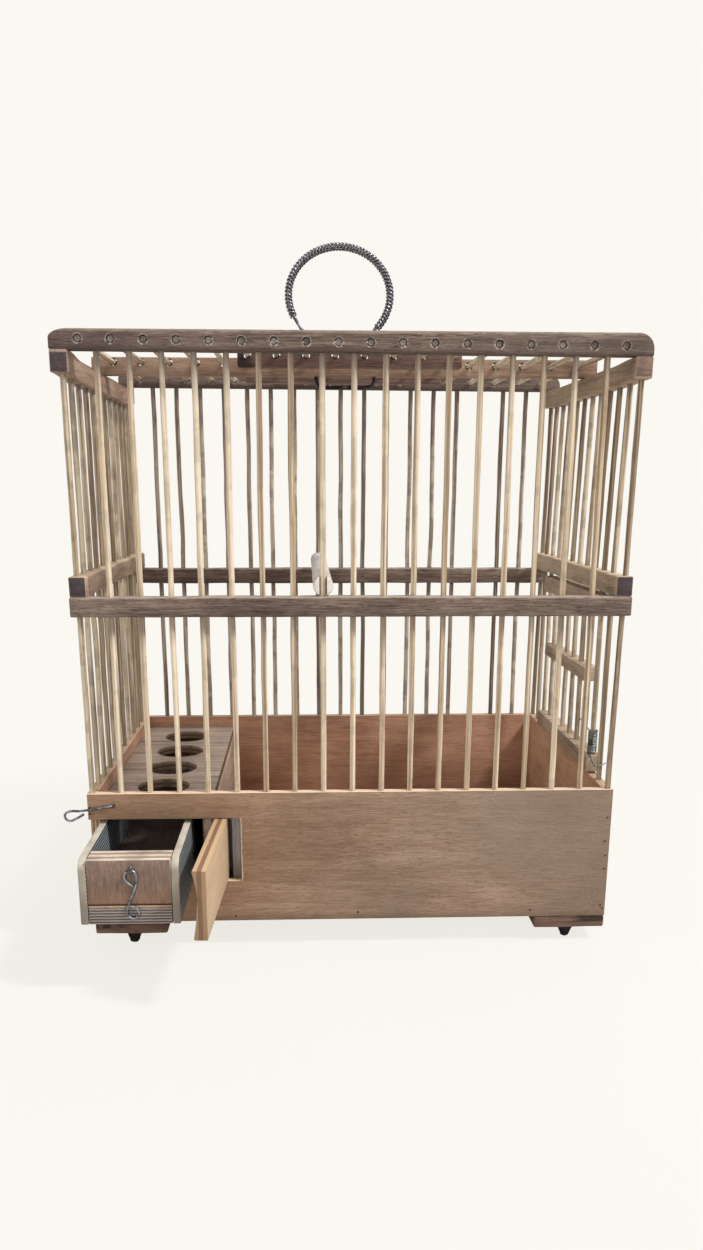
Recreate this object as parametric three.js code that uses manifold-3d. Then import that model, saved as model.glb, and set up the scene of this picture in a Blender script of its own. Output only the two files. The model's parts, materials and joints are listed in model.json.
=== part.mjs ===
// Canary breeding cage: a plywood base box under grilles of round sticks that are let into wooden rails.
// A seed drawer slides through the front of the box behind a flap, under a feeder board with round holes.
// Frame: X to the right, Y to the back, Z up, millimetres. The origin is the middle of the floor's underside.
// Levels below are counted from the base's lower edges, and the whole cage is moved to its origin at the end.
import * as THREE from "three";
import { mergeVertices } from "three/addons/utils/BufferGeometryUtils.js";
import Module from "manifold-3d";

const wasm = await Module();
wasm.setup();

// ---- Driving dimensions ----
const FIT = 0.3; // gap round a glued or seated piece
const RUN = 0.45; // gap round a piece that turns or slides
const PAST = 1; // how far a cutter runs past the face that it cuts

// Cage and sticks
const SPACING = 18; // front, back and roof sticks, centre to centre
const BAYS = 18; // gaps from corner stick to corner stick along the front
const SIDE_BAYS = 11; // the same along each side
const DEPTH = 216; // front stick plane to back stick plane
const STICK = 3.6; // stick diameter
const STICK_SIDES = 6;
const LET_IN = 6; // how far a stick goes into what holds it

// Rails
const RAIL_THICK = 10;
const RAIL_TALL = 11.7;
const RAIL_OVERHANG = 5.3; // past the corner stick's centre
const MID_RAIL_LEVEL = 121.3; // top of the front middle rail, over the base
const TOP_RAIL_LEVEL = 255.1; // underside of the front top rail, over the base
const TOP_RAIL_TALL = 13.2;
const TOP_RAIL_OVERHANG = 7.2;
const TOP_RAIL_ROUND = 4;
const TOP_RAIL_ROUND_STEPS = 3;
const ROOF_RAIL_TALL = 11;
const ROOF_STICK_LEVEL = 6.6; // stick centre over the top rail's underside
const ROOF_STICK_SUNK = 0.6; // how far its end stays below the rail's face
const CLEAT_BAYS = 7; // roof bays that a cleat spans
const CLEAT_OVERHANG = 6;
const CLEAT_PLACE = [-50, 48]; // Y of the two cleats
const CLEAT_TALL = 10;

// Base box
const PLY = 6;
const BASE_TALL = 86;
const FLOOR_THICK = 8;
const FLOOR_LIFT = 2; // the floor is let in this far above the panels' lower edges
const HATCH = { right: -70.5, low: 27.4, high: 69.4, corner: 1.5 }; // open to the left end
const HATCH_CORNER_STEPS = 4;

// Feeder compartment, at the left
const FEEDER_WIDE = 70;
const FEEDER_DROP = 8.5; // board below the top of the base
const FEEDER_HOLE = 34;
const FEEDER_PITCH = 46;
const FEEDER_HOLES = 4;
const FEEDER_MIDDLE = 3; // Y of the row's middle
const FEEDER_CURVE = 14; // segments in half a hole
const SHELF_THICK = 6;
const GUIDE_TALL = 8;
const STOP_BOARD = { thick: 3, right: -60, heel: -76.3, clear: 1 }; // clear of the open flap's heel

// Feet
const FOOT = { long: 46, wide: 20, tall: 8 };
const TIP = { top: 6, bottom: 2.6, tall: 9 };
const TIP_SIDES = 10;

// Drawer, pulled out as it is found
const DRAWER = { wide: 57, tall: 39, long: 200, front: -175, side: 4.5, face: 16, board: 11.5, back: 5 };
const DRAWER_ROUND = 7;
const DRAWER_ROUND_STEPS = 8;
const DRAWER_GAP = 0.5; // to the left side panel and to the shelf's guide
const EYE = { level: 33.8, aside: 2, radius: 2.6, wire: 0.45, sunk: 8 };
const PULL_WIRE = 0.65;
const PULL_STANDS_OFF = 1.15;
const PULL_FROM_EYE = -0.7; // height of the pull's top wire from the eye's middle

// Flap, open as it is found
const FLAP = { thick: 7.8, reach: 91, heel: 10.6, tall: 41.1, lift: 0.45, open: 87 };
const FLAP_PIVOT_X = -82.95;
const PIN = { radius: 0.8, inFlap: 9, short: 0.5 };
const SCOOP = { radius: 66, depth: 3.2, long: 17, over: 4, sides: 96 };

// Latch wire on the strip over the hatch
const LATCH = { x: -149.8, z: 78.4, wire: 0.75, off: 1.1, sunk: 4.5, bend: 1.5 };

// Side door in the right wall
const DOOR_PIVOT = 2; // number of the hinge stick, counted from the front corner stick
const DOOR_STOP = 9; // number of the stick that the door shuts against
const DOOR_TOP_GAP = 2.8;
const DOOR_LOW_GAP = 1.3;
const DOOR_TOP_TALL = 12;
const DOOR_LOW_TALL = 11;
const DOOR_MIDDLE = { low: 59, tall: 9, past: 7.4 }; // its ends are past the first and last door stick
const DOOR_HEEL = 6; // rail end past the hinge stick
const DOOR_LET_IN = 7;
const SPRING = { turns: 8, wire: 0.55, play: 0.35, low: 0.6, tall: 17.5, steps: 8, sides: 5 };

// Handle ring of wire with a wound grip, through the roof's middle rail
const HANDLE = { wire: 1.1, left: -20, right: 18, drop: 6.6, bend: 3.4, ends: 1.5, sides: 6, steps: 76 };
const HANDLE_STRAIGHT = { from: 3, past: 1.5 }; // over the roof rail's underside, and over its top
const RING = { x: -4.9, rise: 38.9, halfWide: 33.2, halfTall: 29.3, from: 214, to: -46, step: 10 };
const GRIP = { from: 206, to: -42, turns: 44, wire: 0.6, play: 0.4, steps: 8, sides: 5 };

// Perch
const PERCH = { radius: 6, past: 3.5, over: 8, sides: 24 };

// ---- Levels and places worked out from them ----
const cornerX = (SPACING * BAYS) / 2;
const cornerY = DEPTH / 2;
const baseX = cornerX + PLY / 2;
const baseY = cornerY + PLY / 2;
const innerX = cornerX - PLY / 2;
const innerY = cornerY - PLY / 2;
const stickRadius = STICK / 2;
const midTop = BASE_TALL + MID_RAIL_LEVEL;
const midLow = midTop - RAIL_TALL;
const roofLow = BASE_TALL + TOP_RAIL_LEVEL;
const sideTopHigh = roofLow - FIT;
const sideTopLow = sideTopHigh - RAIL_TALL;
const sideMidLow = midTop + FIT;
const roofStickZ = roofLow + ROOF_STICK_LEVEL;
const railX = cornerX + RAIL_OVERHANG;
const railY = cornerY + RAIL_THICK / 2;
const feederTop = BASE_TALL - FEEDER_DROP;
const feederRight = -innerX + FEEDER_WIDE;
const riserLeft = feederRight - PLY;
const floorTop = FLOOR_LIFT + FLOOR_THICK;

const range = (count) => Array.from({ length: count }, (_, i) => i);
const frontX = range(BAYS - 1).map((i) => (i + 1) * SPACING - cornerX);
const roofX = range(BAYS).map((i) => (i + 0.5) * SPACING - cornerX);
const sideStickY = (number) => (number * DEPTH) / SIDE_BAYS - cornerY;
const sideNumbers = range(SIDE_BAYS - 1).map((i) => i + 1);
const doorNumbers = sideNumbers.filter((n) => n > DOOR_PIVOT && n < DOOR_STOP);
const wallNumbers = sideNumbers.filter((n) => n <= DOOR_PIVOT || n >= DOOR_STOP);

// ---- Materials ----
const finish = (color, roughness, metalness = 0) =>
  new THREE.MeshStandardMaterial({ color, roughness, metalness });
const FINISH = {
  basePly: finish(0xae8c6c, 0.75),
  feederPly: finish(0x8d7b6b, 0.8),
  rail: finish(0x7d6a5e, 0.8),
  paleRail: finish(0xa58a6a, 0.8),
  cleat: finish(0x74584a, 0.8),
  stick: finish(0xd2bb87, 0.65),
  doorRail: finish(0x8f775c, 0.8),
  drawerSide: finish(0xb5ab98, 0.75),
  drawerFront: finish(0x876a5a, 0.8),
  flap: finish(0xdcb98a, 0.7),
  greyBoard: finish(0x77726d, 0.8),
  foot: finish(0x6d5a4c, 0.85),
  tip: finish(0x1d1a19, 0.7),
  wire: finish(0x8b8c90, 0.35, 0.9),
  grip: finish(0x55555d, 0.4, 0.85),
  perch: finish(0xd0ccc4, 0.6),
};

// ---- Solids ----
const V = (x, y, z) => new THREE.Vector3(x, y, z);

function solid(geometry) {
  const bare = new THREE.BufferGeometry().setAttribute("position", geometry.getAttribute("position"));
  bare.setIndex(geometry.index);
  const merged = mergeVertices(bare, 1e-4);
  const mesh = new wasm.Mesh({
    numProp: 3,
    vertProperties: merged.attributes.position.array,
    triVerts: new Uint32Array(merged.index.array),
  });
  return new wasm.Manifold(mesh);
}

const box = ([x0, x1], [y0, y1], [z0, z1]) =>
  solid(new THREE.BoxGeometry(x1 - x0, y1 - y0, z1 - z0)
    .translate((x0 + x1) / 2, (y0 + y1) / 2, (z0 + z1) / 2));

function rod(from, to, radius, sides = STICK_SIDES, endRadius = radius) {
  const along = to.clone().sub(from);
  const turn = new THREE.Quaternion().setFromUnitVectors(V(0, 1, 0), along.clone().normalize());
  const middle = from.clone().lerp(to, 0.5);
  const geometry = new THREE.CylinderGeometry(endRadius, radius, along.length(), sides)
    .applyQuaternion(turn)
    .translate(middle.x, middle.y, middle.z);
  return solid(geometry);
}

const post = (x, y, z0, z1, radius = stickRadius) => rod(V(x, y, z0), V(x, y, z1), radius);

// A clearance radius for a rod with flat sides: the gap is kept at the middle of each side.
const bored = (radius, gap) => (radius + gap) / Math.cos(Math.PI / STICK_SIDES);

// An outline of [across, up] points with a thickness: across is X or Y, and `start` is on the other of them.
function plate(shape, across, start, thickness) {
  const geometry = new THREE.ExtrudeGeometry(shape, { depth: thickness, bevelEnabled: false });
  const turn = new THREE.Matrix4();
  if (across === "x") {
    turn.makeBasis(V(1, 0, 0), V(0, 0, 1), V(0, -1, 0)).setPosition(0, start + thickness, 0);
  } else {
    turn.makeBasis(V(0, 1, 0), V(0, 0, 1), V(1, 0, 0)).setPosition(start, 0, 0);
  }
  return solid(geometry.applyMatrix4(turn));
}

const outline = (points) => new THREE.Shape(points.map(([a, b]) => new THREE.Vector2(a, b)));

// Points of a quarter circle about a corner's centre, from one angle to another in degrees.
const roundCorner = (a, b, radius, from, to, steps) =>
  range(steps + 1).map((i) => {
    const angle = THREE.MathUtils.degToRad(from + ((to - from) * i) / steps);
    return [a + radius * Math.cos(angle), b + radius * Math.sin(angle)];
  });

const cutFrom = (body, cutters) => cutters.reduce((left, cutter) => left.subtract(cutter), body);
const join = (pieces) => pieces.reduce((whole, piece) => whole.add(piece));

// A tube of flat sides along a curve.
function tube(curve, radius, sides, steps) {
  const section = new THREE.Shape(range(sides).map((i) => {
    const angle = (2 * Math.PI * i) / sides;
    return new THREE.Vector2(radius * Math.cos(angle), radius * Math.sin(angle));
  }));
  curve.arcLengthDivisions = steps * 4;
  return solid(new THREE.ExtrudeGeometry(section, { steps, extrudePath: curve, bevelEnabled: false }));
}

// A curve given by a function of 0 to 1.
class Route extends THREE.Curve {
  constructor(at) {
    super();
    this.at = at;
  }
  getPoint(t) {
    return this.at(t);
  }
}

const smooth = (points) => new THREE.CatmullRomCurve3(points, false, "centripetal");

// The least gap from a wound wire to itself: points more than half a turn apart along the wire.
function leastGap(curve, turns, wire) {
  const perTurn = 24;
  const points = curve.getPoints(turns * perTurn);
  let least = Infinity;
  points.forEach((p, i) => {
    for (let j = i + perTurn / 2; j < Math.min(points.length, i + 2 * perTurn); j++)
      least = Math.min(least, p.distanceTo(points[j]));
  });
  return least - 2 * wire;
}

// ---- The cage as a tree of named meshes ----
const cage = new THREE.Group();

function piece(name, body, material, parent = cage) {
  const { numProp, vertProperties, triVerts, numVert } = body.getMesh();
  const position = new Float32Array(numVert * 3);
  range(numVert).forEach((i) => position.set(vertProperties.subarray(i * numProp, i * numProp + 3), i * 3));
  const geometry = new THREE.BufferGeometry();
  geometry.setAttribute("position", new THREE.BufferAttribute(position, 3));
  geometry.setIndex(new THREE.BufferAttribute(triVerts, 1));
  geometry.computeVertexNormals();
  const mesh = new THREE.Mesh(geometry, material);
  mesh.name = name;
  parent.add(mesh);
  return mesh;
}

const mirrored = [["left", -1], ["right", 1]];
const facing = [["front", -1], ["back", 1]];

// Holes for the sticks of one wall, in whatever holds their ends.
const frontBores = (y, z0, z1) =>
  frontX.map((x) => post(x, y, z0, z1, bored(stickRadius, FIT)));
const sideBores = (x, numbers, z0, z1) =>
  numbers.map((n) => post(x, sideStickY(n), z0, z1, bored(stickRadius, FIT)));
const cornerBores = (xs, ys, z0, z1) =>
  xs.flatMap((x) => ys.map((y) => post(x, y, z0, z1, bored(stickRadius, FIT))));
const seatZ = [BASE_TALL - LET_IN - FIT, BASE_TALL + PAST];

function basePanels() {
  const { right, low, high, corner } = HATCH;
  const front = outline([
    [-baseX, 0],
    [baseX, 0],
    [baseX, BASE_TALL],
    [-baseX, BASE_TALL],
    [-baseX, high],
    ...roundCorner(right - corner, high - corner, corner, 90, 0, HATCH_CORNER_STEPS),
    ...roundCorner(right - corner, low + corner, corner, 0, -90, HATCH_CORNER_STEPS),
    [-baseX, low],
  ]);
  const pinHole = bored(PIN.radius, FIT);
  const pinHoles = [
    post(FLAP_PIVOT_X, -cornerY, -PAST, low + PAST, pinHole),
    post(FLAP_PIVOT_X, -cornerY, high - PAST, BASE_TALL + PAST, pinHole),
  ];
  const latchAt = (y) => V(LATCH.x, y, LATCH.z);
  const latchHole = rod(latchAt(-baseY - PAST), latchAt(-innerY + PAST), bored(LATCH.wire, RUN));
  const edgeHoles = (y) => [...frontBores(y, ...seatZ), ...cornerBores([-cornerX, cornerX], [y], ...seatZ)];
  piece("front_panel",
    cutFrom(plate(front, "x", -baseY, PLY), [...pinHoles, latchHole, ...edgeHoles(-cornerY)]),
    FINISH.basePly);
  piece("back_panel",
    cutFrom(box([-baseX, baseX], [innerY, baseY], [0, BASE_TALL]), edgeHoles(cornerY)),
    FINISH.basePly);
  for (const [name, side] of mirrored) {
    const xs = [side * innerX, side * baseX].sort((a, b) => a - b);
    const panel = box(xs, [-innerY + FIT, innerY - FIT], [0, BASE_TALL]);
    const numbers = side > 0 ? wallNumbers : sideNumbers;
    piece(`${name}_panel`, cutFrom(panel, sideBores(side * cornerX, numbers, ...seatZ)), FINISH.basePly);
  }
  piece("floor_board",
    box([-innerX + FIT, innerX - FIT], [-innerY + FIT, innerY - FIT], [FLOOR_LIFT, floorTop]),
    FINISH.basePly);
}

function feeder() {
  const left = -innerX + FIT;
  const middle = (left + feederRight) / 2;
  const [y0, y1] = [-innerY + FIT, innerY - FIT];
  const under = feederTop - PLY;
  const board = new THREE.Shape([[left, y0], [feederRight, y0], [feederRight, y1], [left, y1]]
    .map(([x, y]) => new THREE.Vector2(x, y)));
  for (const i of range(FEEDER_HOLES)) {
    const y = FEEDER_MIDDLE + (i - (FEEDER_HOLES - 1) / 2) * FEEDER_PITCH;
    board.holes.push(new THREE.Path().absarc(middle, y, FEEDER_HOLE / 2, 0, 2 * Math.PI, true));
  }
  const cut = { depth: PLY, bevelEnabled: false, curveSegments: FEEDER_CURVE };
  const sheet = new THREE.ExtrudeGeometry(board, cut);
  piece("feeder_board", solid(sheet.translate(0, 0, under)), FINISH.feederPly);
  piece("feeder_riser",
    box([riserLeft, feederRight], [y0, y1], [floorTop + FIT, under - FIT]),
    FINISH.feederPly);
  const shelfRight = riserLeft - FIT;
  piece("drawer_shelf",
    box([left, shelfRight], [y0, y1], [HATCH.low - SHELF_THICK, HATCH.low]),
    FINISH.feederPly);
  const guideLeft = -innerX + DRAWER_GAP + DRAWER.wide + DRAWER_GAP;
  piece("drawer_guide",
    box([guideLeft, shelfRight], [y0, y1], [HATCH.low + FIT, HATCH.low + GUIDE_TALL]),
    FINISH.feederPly);
  const { thick, right, heel, clear } = STOP_BOARD;
  const backFace = -cornerY + FLAP.heel + FLAP.thick / 2 + thick + clear;
  const profile = outline([
    [feederRight + FIT, backFace - thick],
    [heel, backFace - thick],
    [heel, -innerY + FIT],
    [right, -innerY + FIT],
    [right, backFace],
    [feederRight + FIT, backFace],
  ]);
  const low = floorTop + FIT;
  const strip = new THREE.ExtrudeGeometry(profile, { depth: feederTop - low, bevelEnabled: false });
  piece("stop_board", solid(strip.translate(0, 0, low)), FINISH.greyBoard);
}

function feet() {
  for (const [along, sy] of facing)
    for (const [across, sx] of mirrored) {
      const xs = [sx * baseX, sx * (baseX - FOOT.long)].sort((a, b) => a - b);
      const ys = [sy * baseY, sy * (baseY - FOOT.wide)].sort((a, b) => a - b);
      const low = -FIT - FOOT.tall;
      piece(`foot_${along}_${across}`, box(xs, ys, [low, -FIT]), FINISH.foot);
      const x = (xs[0] + xs[1]) / 2;
      const y = (ys[0] + ys[1]) / 2;
      piece(`foot_tip_${along}_${across}`,
        rod(V(x, y, low - FIT - TIP.tall), V(x, y, low - FIT), TIP.bottom, TIP_SIDES, TIP.top),
        FINISH.tip);
    }
}

// Corner sticks, and the middle rails with the sticks that they are glued to.
function walls() {
  for (const [along, sy] of facing)
    for (const [across, sx] of mirrored)
      piece(`corner_stick_${along}_${across}`,
        post(sx * cornerX, sy * cornerY, BASE_TALL - LET_IN, roofLow + LET_IN),
        FINISH.stick);
  for (const [name, side] of facing) {
    const y = side * cornerY;
    const rail = box([-railX, railX], [y - RAIL_THICK / 2, y + RAIL_THICK / 2], [midLow, midTop]);
    const bare = cutFrom(rail, cornerBores([-cornerX, cornerX], [y], midLow - PAST, midTop + PAST));
    const sticks = frontX.map((x) => post(x, y, BASE_TALL - LET_IN, roofLow + LET_IN));
    piece(`${name}_grille`, join([bare, ...sticks]), FINISH.stick);
  }
  for (const [name, side] of mirrored) {
    const x = side * cornerX;
    const z = [sideMidLow, sideMidLow + RAIL_TALL];
    const cut = [z[0] - PAST, z[1] + PAST];
    const rail = box([x - RAIL_THICK / 2, x + RAIL_THICK / 2], [-railY, railY], z);
    const through = side > 0 ? sideBores(x, wallNumbers, ...cut) : [];
    const bare = cutFrom(rail, [...cornerBores([x], [-cornerY, cornerY], ...cut), ...through]);
    const numbers = side > 0 ? doorNumbers : sideNumbers;
    const low = side > 0 ? sideMidLow + RAIL_TALL / 2 : BASE_TALL - LET_IN;
    const sticks = numbers.map((n) => post(x, sideStickY(n), low, sideTopLow + LET_IN));
    piece(`${name}_grille`, join([bare, ...sticks]), FINISH.stick);
  }
  const names = ["right_stick_front", "door_hinge_stick", "door_stop_stick", "right_stick_back"];
  wallNumbers.forEach((n, i) =>
    piece(names[i], post(cornerX, sideStickY(n), BASE_TALL - LET_IN, sideTopLow + LET_IN), FINISH.stick));
}

function topRails() {
  const long = cornerX + TOP_RAIL_OVERHANG;
  const high = roofLow + TOP_RAIL_TALL;
  const r = TOP_RAIL_ROUND;
  const steps = TOP_RAIL_ROUND_STEPS;
  const shape = outline([
    ...roundCorner(-long + r, roofLow + r, r, 270, 180, steps),
    ...roundCorner(-long + r, high - r, r, 180, 90, steps),
    ...roundCorner(long - r, high - r, r, 90, 0, steps),
    ...roundCorner(long - r, roofLow + r, r, 0, -90, steps),
  ].reverse());
  const seat = [roofLow - PAST, roofLow + LET_IN + FIT];
  for (const [name, side] of facing) {
    const y = side * cornerY;
    const crossBores = roofX.map((x) =>
      rod(V(x, y - RAIL_THICK, roofStickZ), V(x, y + RAIL_THICK, roofStickZ), bored(stickRadius, FIT)));
    const ends = cornerBores([-cornerX, cornerX], [y], ...seat);
    const rail = plate(shape, "x", y - RAIL_THICK / 2, RAIL_THICK);
    const bores = [...frontBores(y, ...seat), ...ends, ...crossBores];
    piece(`top_rail_${name}`, cutFrom(rail, bores), FINISH.rail);
  }
  for (const [name, side] of mirrored) {
    const x = side * cornerX;
    const rail = box([x - RAIL_THICK / 2, x + RAIL_THICK / 2], [-railY, railY], [sideTopLow, sideTopHigh]);
    const bores = [
      ...cornerBores([x], [-cornerY, cornerY], sideTopLow - PAST, sideTopHigh + PAST),
      ...sideBores(x, sideNumbers, sideTopLow - PAST, sideTopLow + LET_IN + FIT),
    ];
    piece(`top_rail_${name}`, cutFrom(rail, bores), FINISH.paleRail);
  }
}

const roofRailTop = roofLow + ROOF_RAIL_TALL;

function roof() {
  const rail = box([-railX, railX], [-RAIL_THICK / 2, RAIL_THICK / 2], [roofLow, roofRailTop]);
  const wireHoles = [HANDLE.left, HANDLE.right].map((x) =>
    post(x, 0, roofLow - PAST, roofRailTop + PAST, bored(HANDLE.wire, RUN)));
  const end = railY - ROOF_STICK_SUNK;
  const sticks = roofX.map((x) => rod(V(x, -end, roofStickZ), V(x, end, roofStickZ), stickRadius));
  piece("roof_grille", join([cutFrom(rail, wireHoles), ...sticks]), FINISH.paleRail);
  const reach = (CLEAT_BAYS * SPACING) / 2 + CLEAT_OVERHANG;
  CLEAT_PLACE.forEach((y, i) => {
    const ys = [y - RAIL_THICK / 2, y + RAIL_THICK / 2];
    const cleat = box([-reach, reach], ys, [roofLow, roofLow + CLEAT_TALL]);
    const bores = roofX.filter((x) => Math.abs(x) < reach).map((x) =>
      rod(V(x, y - RAIL_THICK, roofStickZ), V(x, y + RAIL_THICK, roofStickZ), bored(stickRadius, FIT)));
    piece(`roof_cleat_${facing[i][0]}`, cutFrom(cleat, bores), FINISH.cleat);
  });
}

function drawer() {
  const { wide, tall, long, front, side, face, board, back } = DRAWER;
  const left = -innerX + DRAWER_GAP;
  const low = HATCH.low + FIT;
  const high = low + tall;
  const end = front + long;
  const r = DRAWER_ROUND;
  const shape = outline([
    [front, low],
    [end, low],
    [end, high],
    ...roundCorner(front + r, high - r, r, 90, 180, DRAWER_ROUND_STEPS),
  ]);
  piece("drawer_side_left", plate(shape, "y", left, side), FINISH.drawerSide);
  piece("drawer_side_right", plate(shape, "y", left + wide - side, side), FINISH.drawerSide);
  const inside = [left + side + FIT, left + wide - side - FIT];
  const middle = (inside[0] + inside[1]) / 2 + EYE.aside;
  const eyeZ = low + EYE.level;
  const legs = [-1, 1].map((up) => {
    const z = eyeZ + up * EYE.radius;
    return rod(V(middle, front - PAST, z), V(middle, front + EYE.sunk + FIT, z), bored(EYE.wire, FIT));
  });
  piece("drawer_bottom", box(inside, [front, end], [low, low + board]), FINISH.drawerSide);
  piece("drawer_front",
    cutFrom(box(inside, [front, front + face], [low + board + FIT, high]), legs),
    FINISH.drawerFront);
  piece("drawer_back", box(inside, [end - back, end], [low + board + FIT, high]), FINISH.drawerSide);

  const bow = roundCorner(front, eyeZ, EYE.radius, 90, 270, 8).map(([y, z]) => V(middle, y, z));
  const eye = smooth([V(middle, front + EYE.sunk, eyeZ + EYE.radius), ...bow,
    V(middle, front + EYE.sunk, eyeZ - EYE.radius)]);
  piece("drawer_eye", tube(eye, EYE.wire, 6, 18), FINISH.wire);
  // The pull is an S of wire: points across and down from its top wire, which hangs in the eye.
  const S = [
    [0, -9.6], [-3.4, -5.9], [-4.2, -2.6], [-2.6, -0.6], [0, 0], [2.3, -1.9], [2.7, -5.6], [1.7, -9.8],
    [-1.7, -18.8], [-3.6, -24.2], [-3, -27.6], [-0.2, -29], [2.6, -27.4], [2.9, -24.6], [1.6, -22.6],
    [-0.8, -21.6],
  ];
  const pullY = front - PULL_STANDS_OFF;
  const pullZ = eyeZ + PULL_FROM_EYE;
  const pull = smooth(S.map(([x, z]) => V(middle + x, pullY, pullZ + z)));
  piece("drawer_pull", tube(pull, PULL_WIRE, 6, 42), FINISH.wire);
}

function flap() {
  const { thick, reach, heel, tall, lift, open } = FLAP;
  const swing = new THREE.Group();
  swing.position.set(FLAP_PIVOT_X, -cornerY, HATCH.low + lift);
  swing.rotation.z = THREE.MathUtils.degToRad(open);
  cage.add(swing);
  const panel = box([-reach, heel], [-thick / 2, thick / 2], [0, tall]);
  const holes = [
    post(0, 0, -PAST, PIN.inFlap + FIT, bored(PIN.radius, RUN)),
    post(0, 0, tall - PIN.inFlap - FIT, tall + PAST, bored(PIN.radius, RUN)),
  ];
  // The finger scoop is deepest at the free end and runs out along the inner face.
  const { radius, depth, long, over, sides } = SCOOP;
  const tilt = Math.atan2(depth, long);
  // The round tool's middle, when its lowest line is so far from the flap's free end.
  const tool = (along) => V(
    along - reach - radius * Math.sin(tilt),
    thick / 2 - depth + along * Math.tan(tilt) + radius * Math.cos(tilt),
    tall / 2,
  );
  const scoop = rod(tool(-over), tool(long + over), radius, sides);
  piece("flap", cutFrom(panel, [...holes, scoop]), FINISH.flap, swing);
  const flapLow = HATCH.low + lift;
  const flapHigh = flapLow + tall;
  const pin = (z0, z1) => post(FLAP_PIVOT_X, -cornerY, z0, z1, PIN.radius);
  piece("flap_pin_bottom", pin(PIN.short, flapLow + PIN.inFlap), FINISH.wire);
  piece("flap_pin_top", pin(flapHigh - PIN.inFlap, BASE_TALL - PIN.short), FINISH.wire);
}

function latch() {
  const { x, z, wire, off, sunk, bend } = LATCH;
  const y = -baseY - off;
  // A bent end in the panel, then a straight arm and a drop-shaped loop, across and up from the bend.
  const arm = [[-2.2, -0.2], [-9, -1.2], [-19, -2.8], [-26.6, -3.2], [-28.9, -4.8], [-29, -7.2],
    [-26.4, -9.1], [-22, -7.6], [-17.4, -4.9]];
  const inPanel = [-baseY + sunk, -baseY + bend, -baseY].map((depth) => V(x, depth, z));
  const route = smooth([...inPanel, V(x - bend / 3, y, z), ...arm.map(([dx, dz]) => V(x + dx, y, z + dz))]);
  piece("latch_wire", tube(route, wire, 6, 30), FINISH.wire);
}

const hingeY = sideStickY(DOOR_PIVOT);

function sideDoor() {
  const near = [cornerX - RAIL_THICK / 2, cornerX + RAIL_THICK / 2];
  const stopY = sideStickY(DOOR_STOP);
  const topZ = [midTop - DOOR_TOP_GAP - DOOR_TOP_TALL, midTop - DOOR_TOP_GAP];
  const lowZ = [BASE_TALL + DOOR_LOW_GAP, BASE_TALL + DOOR_LOW_GAP + DOOR_LOW_TALL];
  const midZ = [BASE_TALL + DOOR_MIDDLE.low, BASE_TALL + DOOR_MIDDLE.low + DOOR_MIDDLE.tall];
  // The free ends are cut back to lap the stop stick on its inner side.
  const lapX = [cornerX - stickRadius - RUN, near[1] + PAST];
  const lapY = [stopY - stickRadius - 2 * RUN, stopY + PAST];
  const lap = ([z0, z1]) => box(lapX, lapY, [z0 - PAST, z1 + PAST]);
  const rail = (z) => box(near, [hingeY - DOOR_HEEL, stopY], z).subtract(lap(z));
  const pivotBore = ([z0, z1]) => post(cornerX, hingeY, z0 - PAST, z1 + PAST, bored(stickRadius, RUN));
  const seats = (z0, z1) => sideBores(cornerX, doorNumbers, z0, z1);
  piece("door_top_rail",
    cutFrom(rail(topZ),
      [pivotBore(topZ), ...seats(topZ[0] - PAST, topZ[0] + DOOR_LET_IN + FIT)]),
    FINISH.doorRail);
  piece("door_bottom_rail",
    cutFrom(rail(lowZ),
      [pivotBore(lowZ), ...seats(lowZ[1] - DOOR_LET_IN - FIT, lowZ[1] + PAST)]),
    FINISH.doorRail);
  const sticks = doorNumbers.map((n) =>
    post(cornerX, sideStickY(n), lowZ[1] - DOOR_LET_IN, topZ[0] + DOOR_LET_IN));
  const { past } = DOOR_MIDDLE;
  const middle = box(near, [sideStickY(DOOR_PIVOT + 1) - past, sideStickY(DOOR_STOP - 1) + past], midZ);
  piece("door_grille", join([middle, ...sticks]), FINISH.doorRail);
  doorSpring(lowZ[1]);
}

// A point of the spring's turns round the hinge stick, from 0 to 1 along them.
const coilPoint = (t, radius, z0) => {
  const angle = Math.PI - 2 * Math.PI * SPRING.turns * t;
  return V(cornerX + radius * Math.cos(angle), hingeY + radius * Math.sin(angle), z0 + SPRING.tall * t);
};

// One wire: a hook round the stick in front, turns round the hinge stick and an arm behind the next stick.
function doorSpring(seat) {
  const { turns, wire, play, low, tall, steps, sides } = SPRING;
  const radius = stickRadius + play + wire;
  const z0 = seat + low + wire;
  const frontY = sideStickY(DOOR_PIVOT - 1);
  const firstY = sideStickY(doorNumbers[0]);
  // Outside, in front and inside of the front stick, then along to the turns: in and out, along, and up.
  const clear = stickRadius + 2.2 * wire;
  const hook = [[clear, -2.5, -1.4], [-0.4, -clear - 0.9, -2.6], [-clear - 0.6, -1.2, -3.6],
    [-clear - 0.5, 5, -2.8], [-clear - 0.1, 12.5, -0.7]];
  const arm = [[-radius - 0.6, hingeY + 6, 1], [-clear - 0.3, (hingeY + firstY) / 2 + 4, 2],
    [-clear - 0.2, firstY + 2.5, 2.6]];
  const route = [
    ...hook.map(([across, along, up]) => V(cornerX + across, frontY + along, z0 + up)),
    ...range(turns * steps + 1).map((i) => coilPoint(i / (turns * steps), radius, z0)),
    ...arm.map(([across, y, up]) => V(cornerX + across, y, z0 + tall + up)),
  ];
  const winding = new Route((t) => coilPoint(t, radius, z0));
  console.log("door_spring: least gap between turns", leastGap(winding, turns, wire).toFixed(2), "mm");
  piece("door_spring", tube(smooth(route), wire, sides, (turns + 4) * steps), FINISH.wire);
}

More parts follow.
